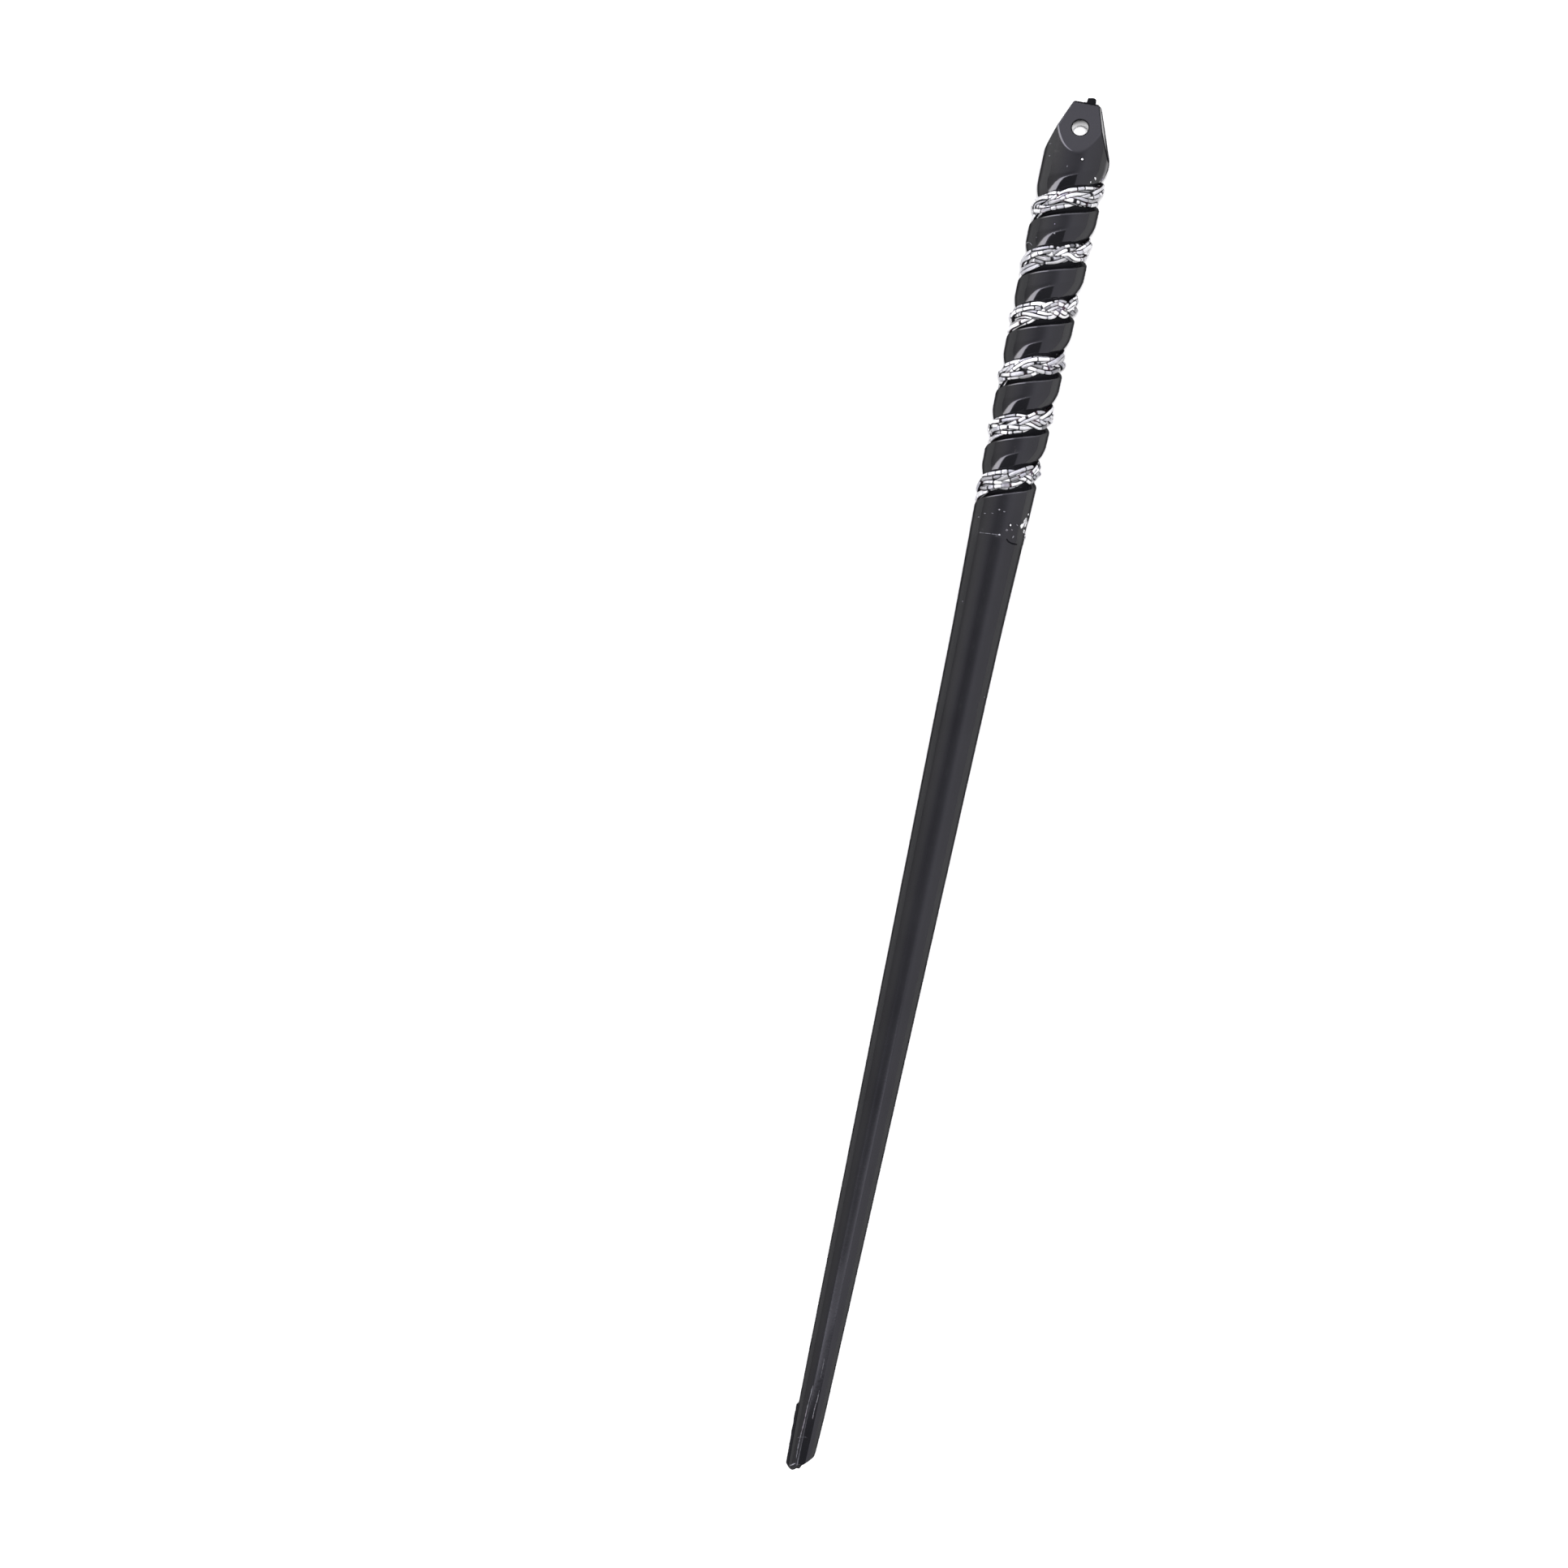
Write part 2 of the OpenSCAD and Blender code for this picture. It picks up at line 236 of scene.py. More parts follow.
def seam_step(x, a):
    """The moulding step where the handle begins, with its lip, and a dent on its right."""
    wander = waves(11, (130, 61), turned(a))
    line = SEAM_X + SEAM_WANDER * wander + 0.02 * np.cos(np.radians(3 * a))
    step = SEAM_RISE * smooth((x - line) / 0.1 + 0.5) * smooth(1 - (x - line) / 5)
    shown = smooth((turned(a) + 47) / 5) * smooth((5 - turned(a)) / 3)
    lip = SEAM_LIP + SEAM_LIP_SHOWN * shown * (0.8 + 0.2 * waves(12, (17, 9), turned(a)))
    lip = lip * smooth(1 - np.abs(x - line) / 0.16)
    dx, dy = (x - DENT_X) / DENT_HALF, turned(a - DENT_DEG) / DENT_HALF_DEG
    dent = -DENT_DEPTH * smooth((1 - np.sqrt(dx**2 + dy**2)) * 3.2) * (0.6 + 0.4 * dx)
    return step + lip + dent


# Stations of the mesh across one turn, as shares of the groove's half widths between its two
# lips, and beyond them over the plain ridge to the next turn
LOW_LIP, HIGH_LIP, LOW_RUN, HIGH_RUN, OFFSET_LOW = -1.10, 1.08, 0.25, 0.92, -2.3
LIP_AT, LIP_WIDTH, LIP_RISE = 0.98, 0.12, 0.012
STATIONS = np.concatenate([
    [-1.35, -1.2, -1.10, -1.05, -1.0, -.97, -.93, -.90, -.865, -.835, -.80, -.76, -.71, -.64,
     -.54, -.40, -.2, 0], [.15, .27, .36, .43, .49, .54, .59, .64, .69, .74, .79, .84, .89, .94,
                           .98, 1.03, 1.08], np.linspace(1.08, 2.0, 9)[1:]])
M = len(STATIONS) - 1
START_DEG, END_DEG = -300.0, 1989.0
LOW_RING_X, TOP_RING_X = float(groove_x(START_DEG) + OFFSET_LOW), KNOB_X - 0.05


def groove_offset(a):
    """Each station's offset from the groove's middle line, and its share of the depth."""
    a = np.asarray(a)[:, None]
    fade = narrowed(groove_fade(a))
    shoulder = groove_shoulder(a)
    low, high = LOW_LIP * STEEP * fade, shoulder * HIGH_LIP * fade
    inside = np.where(STATIONS < 0, STEEP, shoulder) * np.clip(STATIONS, LOW_LIP, HIGH_LIP) * fade
    below = low + (OFFSET_LOW - low) * np.clip((LOW_LIP - STATIONS) / LOW_RUN, 0, 1)
    above = high + (OFFSET_LOW + PITCH - high) * np.clip((STATIONS - HIGH_LIP) / HIGH_RUN, 0, 1)
    out = np.where(STATIONS < LOW_LIP, below, np.where(STATIONS > HIGH_LIP, above, inside))
    plain_share = (STATIONS < LOW_LIP) | (STATIONS > HIGH_LIP)
    return out, np.where(plain_share, 0, section_depth(STATIONS) + 0 * a)


class Skin:
    """Points and faces of one closed surface, added part by part."""

    def __init__(self):
        self.points, self.faces, self.count = [], [], 0

    def add(self, p):
        """Numbers of the added points."""
        p = np.reshape(p, (-1, 3))
        self.points.append(p)
        self.count += len(p)
        return np.arange(self.count - len(p), self.count)

    def bands(self, rings):
        """Quads between closed rings, from each to the next."""
        for lower, upper in zip(rings, rings[1:]):
            self.faces += zip(lower, upper, np.roll(upper, -1), np.roll(lower, -1))

    def fan(self, ring, pole, low=False):
        """Triangles from a closed ring to one point."""
        for a, b in zip(ring, np.roll(ring, -1)):
            self.faces.append((a, b, pole) if low else (a, pole, b))

    def zipper(self, left, right, xs):
        """Triangles between two columns of points, both listed by rising x."""
        i = j = 0
        while i < len(left) - 1 or j < len(right) - 1:
            if j == len(right) - 1 or (
                    i < len(left) - 1 and xs[left[i + 1]] <= xs[right[j + 1]]):
                tri = (left[i], left[i + 1], right[j])
                i += 1
            else:
                tri = (left[i], right[j + 1], right[j])
                j += 1
            if len(set(tri)) == 3:
                self.faces.append(tri)

    def mesh(self):
        """Points that a face uses, corners of all faces in one list, and the faces' sizes."""
        corners = np.concatenate([np.array(f) for f in self.faces])
        used, corner = np.unique(corners, return_inverse=True)
        sizes = np.array([len(f) for f in self.faces])
        return np.concatenate(self.points)[used], corner, sizes


# The tip: a slantwise break on one side and a rounded end on the other
TIP_RING_X = (TIP_D / 2 + CHIP_FROM) * CHIP + 0.35
RIM_X, RIM_SHARES = 0.8, (0.0, 0.12, 0.26, 0.4, 0.55, 0.7, 0.85)
CAP_SHARES, CAP_LOWEST, CAP_MIDDLE = (0.975, 0.94, 0.88, 0.78, 0.64, 0.46, 0.25), -0.26, 0.02


def tip_x(y, z, r):
    """Where the tip's end lies at the place (y, z) of its face; r is the radius there."""
    run = (CHIP_FROM - y) * CHIP
    slant = 0.5 * (run + np.sqrt(run**2 + 0.16)) - 0.30 * smooth((y - 0.1) / 0.7)
    slant = slant + np.maximum(0, y - TIP_D / 2 + 0.75) ** 1.5 * 0.85
    nose = 0.62 * np.abs(z / r) ** 2.6 * smooth((y + 0.35) / 0.7)
    return slant + nose


def shaft_ring(x):
    a = flat_angle(np.full(NC, x), COLUMNS)
    return polar(np.full(NC, x), a, shaft_r(np.full(NC, x), a) + seam_step(x, a))


def add_shaft(skin):
    """Rings from the broken tip to the groove, and the tip's end; gives the highest ring."""
    rows_x = np.concatenate([
        np.arange(TIP_RING_X + 0.2, 8.0, 0.28), [8.02, 8.14, 8.26, 8.38, 8.5],
        np.arange(8.9, 20, 0.5), np.arange(20.4, 70, 1.1), np.arange(70.5, 116.5, 1.5),
        np.arange(117.4, 122.2, 0.8)])
    rows_x = np.unique(np.round(rows_x, 3))
    rows_x = np.append(rows_x[rows_x < LOW_RING_X - 0.3], LOW_RING_X)
    first = shaft_ring(TIP_RING_X)
    rim_a = flat_angle(np.full(NC, RIM_X), COLUMNS)
    rim_r = shaft_r(np.full(NC, RIM_X), rim_a)
    rim = polar(0, rim_a, rim_r)
    rim[:, 0] = tip_x(rim[:, 1], rim[:, 2], rim_r.mean())
    rings = [skin.add(rim + (first - rim) * s) for s in RIM_SHARES]
    rings += [skin.add(shaft_ring(x)) for x in rows_x]
    skin.bands(rings)
    chain = [rings[0]]
    for s in CAP_SHARES:
        y, z = rim[:, 1] * s, rim[:, 2] * s
        x = tip_x(y, z, rim_r.mean()) - 0.10 * (1 - s) ** 0.5 * (1 - np.abs(y) / 3)
        x = x + 0.035 * waves(22, (0.9, 0.5), y + 3 * z, z) * smooth((1 - s) * 6)
        chain.append(skin.add(np.stack([np.maximum(x, CAP_LOWEST), y, z], -1)))
    for a, b in zip(chain, chain[1:]):
        skin.bands([b, a])
    skin.fan(chain[-1], skin.add([CAP_MIDDLE, 0, 0])[0], low=True)
    return rings[-1]


# Columns of points in the two wedges that the spiral leaves open, closer at the seam
LOW_WEDGE_X = np.concatenate([[122.55, 122.7, 122.78, 122.84, 122.9, 122.96, 123.02, 123.1],
                              np.arange(123.3, 130, 0.26)])
HIGH_WEDGE_X = np.arange(160, TOP_RING_X, 0.3)


def add_spiral(skin, low_ring):
    """The grooved bar: rows along the groove, stations from one turn to the next.

    Two wedges join its first and last turn to the rings; gives the ring under the knob.
    """
    cols = np.concatenate([COLUMNS + 360 * k for k in range(-2, 7)])
    row_a = cols[(cols > START_DEG - 0.01) & (cols < END_DEG + 0.01)]
    last = len(row_a) - 1
    column = np.array([int(np.argmin(np.abs(COLUMNS - a % 360))) for a in row_a])
    offset, depth = groove_offset(row_a)
    x = groove_x(row_a)[:, None] + offset
    limit = np.full(len(row_a), TOP_RING_X - 0.1)
    limit[-1] = TOP_RING_X
    high = x[:, STATIONS <= HIGH_LIP][:, -1]
    top = np.maximum(np.minimum(x[:, -1], limit), high + 0.05)
    ridge = STATIONS > HIGH_LIP
    share = (STATIONS[ridge] - HIGH_LIP) / HIGH_RUN
    x[:, ridge] = high[:, None] + (top - high)[:, None] * share
    x[-1, -1] = TOP_RING_X
    fade = groove_fade(row_a)[:, None]
    d = DEPTH * depth * fade
    a = np.broadcast_to(row_a[:, None], x.shape)
    lip = LIP_RISE * np.exp(-((offset + STEEP * LIP_AT) / LIP_WIDTH) ** 2) * fade
    r = shaft_r(x, turned(a)) + seam_step(x, a) * (1 - np.clip(d / 0.1, 0, 1)) - d + lip
    grid = polar(x, a, r)

    # each row ends on the row one turn further on, and the last ones on points of their own
    index = np.zeros(x.shape, int)
    index[:, :M] = skin.add(grid[:, :M]).reshape(-1, M)
    index[:last - NC + 1, M] = index[NC:, 0]
    free = np.arange(last - NC + 1, last)
    index[free, M] = skin.add(grid[free, M])
    top_ring = skin.add(polar(TOP_RING_X, COLUMNS, shaft_r(TOP_RING_X, turned(COLUMNS))))
    index[last, M] = top_ring[column[last]]
    index[0, 0] = low_ring[column[0]]
    for q in range(last):
        skin.faces += zip(index[q], index[q, 1:], index[q + 1, 1:], index[q + 1])

    def upright(q, xs):
        a = np.full(len(xs), row_a[q])
        return skin.add(polar(xs, a, shaft_r(xs, turned(a)) + seam_step(xs, a)))

    low, high = [[index[0, 0]]], [list(index[last])]
    for q in range(1, NC):
        xs = LOW_WEDGE_X[(LOW_WEDGE_X < x[q, 0] - 0.07) & (LOW_WEDGE_X > LOW_RING_X + 0.1)]
        low.append([low_ring[column[q]], *upright(q, xs), index[q, 0]])
    for q in range(last - NC + 1, last):
        xs = HIGH_WEDGE_X[(HIGH_WEDGE_X > x[q, M] + 0.12) & (HIGH_WEDGE_X < TOP_RING_X - 0.15)]
        high.append([index[q, M], *upright(q, xs), top_ring[column[q]]])
    low.append(list(index[0]))
    high.append([index[last, M]])
    xs = np.concatenate(skin.points)[:, 0]
    for columns in (low, high):
        for left, right in zip(columns, columns[1:]):
            skin.zipper(left, right, xs)
    return top_ring


# The knob: rays from the axis meet a cylinder cut by four facets, with rounded edges, and the
# stub of the sprue on its end face
NUB_OFF, NUB_R, NUB_HIGH, NUB_LOW = 0.30, 0.70, 0.92, 0.24
FACET_ROUND, END_ROUND, NUB_ROUND, NUB_BLEND = 0.11, 0.27, 0.07, 0.12
LAND_ROUND, LAND_ROUND_RIGHT, KNOB_LINE_RISE = 0.035, 0.13, 0.025
KNOB_COLUMNS, REACH, STRAIGHT_TO = 256, 7.5, 178.3


def rounded_max(ds, rho):
    """The largest of some distances, with corners rounded to the radius rho."""
    over = [np.maximum(v + rho, 0) for v in ds]
    length = np.sqrt(sum(v**2 for v in over))
    return np.where(length > 0, length - rho, np.max(ds, axis=0))


def knob_facets(x, y, z):
    """Place across and along the turned square of the knob, and its half width there."""
    c, s = math.cos(KNOB_ROLL), math.sin(KNOB_ROLL)
    return y * c - z * s, y * s + z * c, (LENGTH - x) * math.tan(FACET) + END_HALF


def knob_distance(p):
    """Distance from the knob's surface, positive outside."""
    x, y, z = p[..., 0], p[..., 1], p[..., 2]
    ty, tz, out = knob_facets(x, y, z)
    side = out - SIDE_DRAFT * np.abs(tz)
    facets = [d * math.cos(FACET) for d in (ty - side, -ty - side, tz - out, -tz - out)]
    pyramid = rounded_max([rounded_max(facets, FACET_ROUND), x - LENGTH], END_ROUND)
    from_side = np.abs(np.abs(np.degrees(np.arctan2(ty, tz))) - 90)
    bar = np.hypot(y, z) - (BAR_R - 0.004) - KNOB_LINE_RISE * smooth(1 - from_side / LINE_DEG)
    body = rounded_max([pyramid, bar], LAND_ROUND + LAND_ROUND_RIGHT * smooth(0.5 - y / 3))
    ny, nz = y + NUB_OFF, z + 0.05
    nub_x = LENGTH + NUB_LOW + (NUB_HIGH - NUB_LOW) * smooth((0.54 - ny) / 0.12) * (
        0.92 + 0.08 * np.sin(5.1 * ny + 1.4 * nz + 2.2))
    burr = ny * np.where(ny > 0, 0.72, 1.0)
    nub = rounded_max([np.hypot(burr, nz) - (NUB_R - 0.10 * (x - LENGTH)), x - nub_x,
                       179.0 - x], NUB_ROUND)
    h = np.maximum(NUB_BLEND - np.abs(body - nub), 0) / NUB_BLEND
    return np.minimum(body, nub) - h * h * NUB_BLEND / 4


def to_knob(origin, dirs):
    """Points where rays from inside the knob leave it, found by bisection."""
    lo, hi = np.zeros(len(dirs)), np.full(len(dirs), REACH)
    for _ in range(30):
        t = (lo + hi) / 2
        out = knob_distance(origin + dirs * t[:, None]) > 0
        hi, lo = np.where(out, t, hi), np.where(out, lo, t)
    return origin + dirs * ((lo + hi) / 2)[:, None]


def add_knob(skin, top_ring):
    """Rings of the knob by rays square to the bar, then by rays that lean towards its end."""
    knob_a = np.arange(KNOB_COLUMNS) * 360 / KNOB_COLUMNS
    ca, sa = np.cos(np.radians(knob_a)), np.sin(np.radians(knob_a))
    straight = np.arange(TOP_RING_X + 0.09, STRAIGHT_TO, 0.105)
    leans = 90 - np.concatenate([np.arange(2.2, 60, 2.1), np.arange(60.5, 70, 1.2),
                                 np.arange(70.4, 84, 0.75), np.arange(85, 89, 1.5)])
    rings = []
    for x, lean in [(x, 90.0) for x in straight] + [(straight[-1], lean) for lean in leans]:
        c, s = math.cos(math.radians(lean)), math.sin(math.radians(lean))
        origin = np.array([x, -NUB_OFF * float(smooth((90 - lean) / 50)), 0])
        dirs = np.stack([np.full(KNOB_COLUMNS, c), -s * sa, s * ca], -1)
        rings.append(skin.add(to_knob(origin, dirs)))
    end = skin.add(to_knob(np.array([straight[-1], -NUB_OFF, 0]), np.array([[1.0, 0, 0]])))
    skin.bands(rings)
    skin.fan(rings[-1], end[0])
    # the bar's last ring has other columns than the knob's first
    i = j = 0
    while i < NC or j < KNOB_COLUMNS:
        next_i = COLUMNS[i + 1] if i + 1 < NC else 360.0
        next_j = knob_a[j + 1] if j + 1 < KNOB_COLUMNS else 360.0
        here = top_ring[i % NC], rings[0][j % KNOB_COLUMNS]
        if j == KNOB_COLUMNS or (i < NC and next_i <= next_j):
            i += 1
            skin.faces.append((*here, top_ring[i % NC]))
        else:
            j += 1
            skin.faces.append((*here, rings[0][j % KNOB_COLUMNS]))


def eye_cutter(skin):
    """A pin for the eye, flared at both ends so that the cut leaves a rounded rim."""
    n, flare = 96, 0.12
    phi = np.arange(n) * 2 * math.pi / n
    rows = [(flare + 0.9, 1.0)] + [(flare * (1 - math.sin(t)), -flare * (1 - math.cos(t)))
                                   for t in np.linspace(0.16, math.pi / 2, 6)]
    c, s, apart = math.cos(EYE_TURN), math.sin(EYE_TURN), KNOB_ROLL - EYE_TURN
    rings = []
    for side, part in ((1, rows), (-1, rows[::-1])):
        for wider, rise in part:
            x = LENGTH - EYE_BACK + (EYE_R + wider) * np.cos(phi)
            across = (EYE_R + wider) * np.sin(phi)
            facet = END_HALF + (LENGTH - x) * math.tan(FACET) + rise
            up = (side * facet - EYE_Y * math.sin(KNOB_ROLL)
                  - across * math.sin(apart)) / math.cos(apart)
            rings.append(skin.add(np.stack(
                [x, EYE_Y + across * c + up * s, up * c - across * s], -1)))
    skin.bands(rings)
    skin.faces += [tuple(rings[0]), tuple(rings[-1][::-1])]


def add_object(name, data):
    obj = bpy.data.objects.new(name, data)
    bpy.context.scene.collection.objects.link(obj)
    return obj


def make_mesh(name, pts, corner, sizes, values=None, place=lay):
    """A mesh object from points, with faces given as one flat list of corners and their sizes.

    values holds a number for each point under each name; place takes the points to the frame.
    """
    mesh = bpy.data.meshes.new(name)
    mesh.vertices.add(len(pts))
    mesh.vertices.foreach_set("co", place(pts).astype(np.float32).ravel())
    mesh.loops.add(len(corner))
    starts = np.concatenate([[0], np.cumsum(sizes)[:-1]])
    mesh.loops.foreach_set("vertex_index", corner.astype(np.int32))
    mesh.polygons.add(len(sizes))
    mesh.polygons.foreach_set("loop_start", starts.astype(np.int32))
    mesh.polygons.foreach_set("use_smooth", np.ones(len(sizes), bool))
    mesh.update(calc_edges=True)
    mesh.validate()
    obj = add_object(name, mesh)
    for key, value in (values or {}).items():
        float_attribute(obj, key, value)
    return obj


def float_attribute(obj, name, values):
    att = obj.data.attributes.new(name, "FLOAT", "POINT")
    att.data.foreach_set("value", np.asarray(values, np.float32))


# The black stick, with the eye cut through its knob
stick_skin, pin_skin = Skin(), Skin()
add_knob(stick_skin, add_spiral(stick_skin, add_shaft(stick_skin)))
eye_cutter(pin_skin)
stick = make_mesh("black_stick", *stick_skin.mesh())
cutter = make_mesh("cutter", *pin_skin.mesh())
cut = stick.modifiers.new("eye", "BOOLEAN")
cut.operation, cut.solver, cut.object = "DIFFERENCE", "EXACT", cutter
graph = bpy.context.evaluated_depsgraph_get()
new_mesh = bpy.data.meshes.new_from_object(stick.evaluated_get(graph))
stick.modifiers.clear()
old_mesh = stick.data
stick.data = new_mesh
new_mesh.name = "black_stick"
bpy.data.meshes.remove(old_mesh)
bpy.data.objects.remove(cutter)
stick.data.polygons.foreach_set("use_smooth", np.ones(len(stick.data.polygons), bool))
stick.data.set_sharp_from_angle(angle=math.radians(38))


def bar_coords(obj):
    """Bar coordinates of a mesh's vertices: x, y and z in millimetres."""
    co = np.zeros(len(obj.data.vertices) * 3, np.float32)
    obj.data.vertices.foreach_get("co", co)
    p = co.reshape(-1, 3).astype(float) * 1000
    x, z = p[:, 0] - SHIFT_X, p[:, 2] - SHIFT_Z
    c, s = math.cos(TILT), math.sin(TILT)
    return x * c + z * s, p[:, 1], -x * s + z * c


# Painted highlight on the knob's right side along its length, and how much painted shade darkens
# the shaft's middle
SIDE_HIGHLIGHT = ([173, 174, 175.5, 176.5, 178.2, 179.3], [.0015, .004, .03, .07, .07, .03])
MIDDLE_SHADE = ([0, 14, 33, 60, 85, 123], [.30, .30, .62, .52, .45, .45])
WALL_REFLECTION, ROUNDED_HIGHLIGHT, BURR_HIGHLIGHT = 0.09, 0.9, 0.5


def knob_painted_light(x, y, z, a):
    """Painted highlights and painted black shade of the knob."""
    ty, tz, out = knob_facets(x, y, z)
    across = (y - EYE_Y) * math.cos(EYE_TURN) - z * math.sin(EYE_TURN)
    from_eye = np.hypot(x - LENGTH + EYE_BACK, across)
    # a painted reflection in the eye's wall, and painted black shade in a ring on the eye's rim
    wall = smooth((EYE_R + 0.03 - from_eye) / 0.02)
    rim = smooth((EYE_R + 0.17 - from_eye) / 0.06) * (1 - wall)
    # the right side gets a painted highlight strip between a corner and an outline that are
    # painted dark
    side = out - SIDE_DRAFT * np.abs(tz)
    faceted = smooth((x - KNOB_X + 0.3) / 0.5)
    facet = faceted * smooth((-ty - side + 0.03) / 0.025)
    strip = facet * smooth((tz / out - 0.42) / 0.08) * np.interp(x, *SIDE_HIGHLIGHT)
    strip = strip * (1 + 0.1 * waves(14, (1.9, 0.8), x))
    # painted black shade on the facets' corners
    corner = faceted * smooth((-ty - side + 0.15) / 0.05) * (1 - facet) * (tz > 0)
    left_corner_shade = faceted * smooth((ty - side + 0.16) / 0.05) * smooth((x - 175.6) / 1.2)
    # a painted highlight on the rounded land at the right, where the bar meets the knob
    rounded = ROUNDED_HIGHLIGHT * smooth(1 - np.abs(a - 66) / 8)
    rounded = rounded * smooth((x - 169.5) / 1) * smooth((173.8 - x) / 1)
    # painted black shade round the edge of the end face, save for a painted highlight on the
    # sprue's burr
    end = smooth((x - LENGTH + 0.31) / 0.05)
    burr_highlight = smooth((x - LENGTH - 0.02) / 0.1) * smooth((y - 0.22) / 0.08)
    light = [WALL_REFLECTION * wall, strip, rounded, BURR_HIGHLIGHT * burr_highlight]
    return light, [rim, corner, left_corner_shade, end * (1 - burr_highlight)]


def shaft_painted_shade(x, r, a):
    """Painted shade on the shaft: its reflection is taken away at its sides, along its middle and
    on the flash of its tip.
    """
    shaft = smooth((SEAM_X + 0.3 - x) / 1.5) * (1 + 0.08 * waves(15, (41, 17, 6.3), x))
    left = smooth((-a - 36) / 12) * smooth((168.5 - x) / 1.5) * (0.32 + 0.16 * shaft)
    left_half = 0.28 * smooth((-a - 10) / 8) * smooth((110 - x) / 50)
    right = 0.30 * smooth((a - 40) / 10) * shaft
    middle = smooth((17 - np.abs(a)) / 14) * shaft * np.interp(x, *MIDDLE_SHADE)
    fin = smooth((r - body_r(x) - 0.05) / 0.06) * smooth((8.9 - x) / 0.3)
    return [left, left_half, right, middle, fin]


def plastic_painted_light():
    """Painted light on the plastic: 1 for a painted mirror-like highlight, 0 for the plain
    plastic and -1 for painted black shade.
    """
    x, y, z = bar_coords(stick)
    a, r = np.degrees(np.arctan2(-y, z)), np.hypot(y, z)
    light, dark = knob_painted_light(x, y, z, a)
    light = np.maximum.reduce(light)
    dark = np.maximum.reduce(dark + shaft_painted_shade(x, r, a))
    return np.clip(light * (1 - dark) - dark, -1, 1)


# the plastic's painted highlights and painted shade, kept on its points
float_attribute(stick, "painted_highlight_and_shade", plastic_painted_light())

# The silver braid: three bundles of strands change places, and one step of PLAIT mm along the
# groove takes a bundle once across and back
BRAID_FROM, BRAID_TO, BRAID_STEP = -222.0, 1921.0, 3.0
STRAND_R, PLAIT, BUNDLES = 0.238, 15.5, ((0, 3), (1, 2), (2, 3))
BRAID_MID, BRAID_SWING, BRAID_LOW, BRAID_HIGH = 0.22, 0.98, -1.36, 1.76
SETTLING, FIRM_STEPS, FIRM, LOOSE, CLOSE = 110, 90, 0.32, 0.10, 0.97


def floor_height(u, a, fade):
    """Height of the groove's own surface below the bar's, at offset u from its middle."""
    width = narrowed(fade) * np.where(u < 0, STEEP, groove_shoulder(a))
    return -DEPTH * fade * section_depth(u / width)


def above_floor(a, u):
    """How far the floor lies outside the bar's surface, where the surface looks down."""
    x = groove_x(a) + u
    down = np.maximum(-np.cos(np.radians(a)), 0.2) * math.cos(TILT)
    return (x * math.sin(TILT) + SHIFT_Z) / down - body_r(x) - 0.006


def strand_paths(s):
    """Offsets, heights and radii of the strands before they press apart."""
    rng = np.random.default_rng(41)
    u, h, radius = [], [], []
    phase = 2 * math.pi * s / PLAIT + 0.8 * waves(31, (37, 19, 12.5), s) + 0.9
    for bundle, count in BUNDLES:
        turn = phase + 2 * math.pi * bundle / 3
        mid_u = BRAID_MID + BRAID_SWING * np.tanh(1.5 * np.sin(turn))
        mid_u = mid_u + 0.16 * waves(50 + bundle, (9, 5.2), s)
        mid_h = -0.27 + 0.34 * np.sin(2 * turn + 0.3)
        for k in range(count):
            twist = k * 2 * math.pi / count + 1.1 * waves(60 + bundle, (17, 9, 5), s)
            spread = 0.35 + 0.17 * waves(70 + 3 * bundle + k, (8, 4.1, 2.9), s)
            own = 0.19 * waves(90 + 3 * bundle + k, (7.1, 4.3), s)
            u.append(mid_u + spread * np.cos(twist) + own)
            h.append(mid_h + 0.16 * np.sin(twist))
            radius.append(STRAND_R * rng.uniform(0.88, 1.1))
    return np.array(u), np.array(h), np.array(radius)[:, None]


def lay_strands():
    """Offsets and heights of the braid's strands in the groove, after they press apart."""
    a = np.arange(BRAID_FROM, BRAID_TO, BRAID_STEP)
    s = np.radians(a) * 4.1
    fade = groove_fade(a)
    u, h, rad = strand_paths(s)
    for step in range(SETTLING):
        relax = FIRM if step < FIRM_STEPS else LOOSE
        for line in (u, h):
            line[:, 1:-1] += relax * (line[:, :-2] + line[:, 2:] - 2 * line[:, 1:-1])
        h -= 0.002 * (step < FIRM_STEPS)
        for i in range(len(u)):
            for j in range(i):
                du, dh = u[i] - u[j], h[i] - h[j]
                dist = np.hypot(du, dh) + 1e-6
                over = np.maximum(CLOSE * (rad[i] + rad[j]) - dist, 0) * 0.5
                for place, apart in ((u, du), (h, dh)):
                    place[i] += over * apart / dist
                    place[j] -= over * apart / dist
        for t in np.linspace(-0.3, math.pi + 0.3, 9):
            pu, ph = u + rad * math.cos(t), h - rad * math.sin(t)
            ground = floor_height(pu, a, fade) + 0.02
            slope = (floor_height(pu + 0.02, a, fade) - floor_height(pu - 0.02, a, fade)) / 0.04
            norm = np.sqrt(1 + slope**2)
            deep = np.minimum(np.maximum(ground - ph, 0) / norm, 0.12)
            u -= deep * slope / norm
            h += deep / norm
        ceiling = np.minimum(0.22 + 0.05 * waves(44, (23, 7.7), s), above_floor(a, u))
        h[:] = np.minimum(h, ceiling - rad)
        u[:] = np.clip(u, BRAID_LOW + rad, BRAID_HIGH - rad)
    return a, u, h, rad[:, 0]


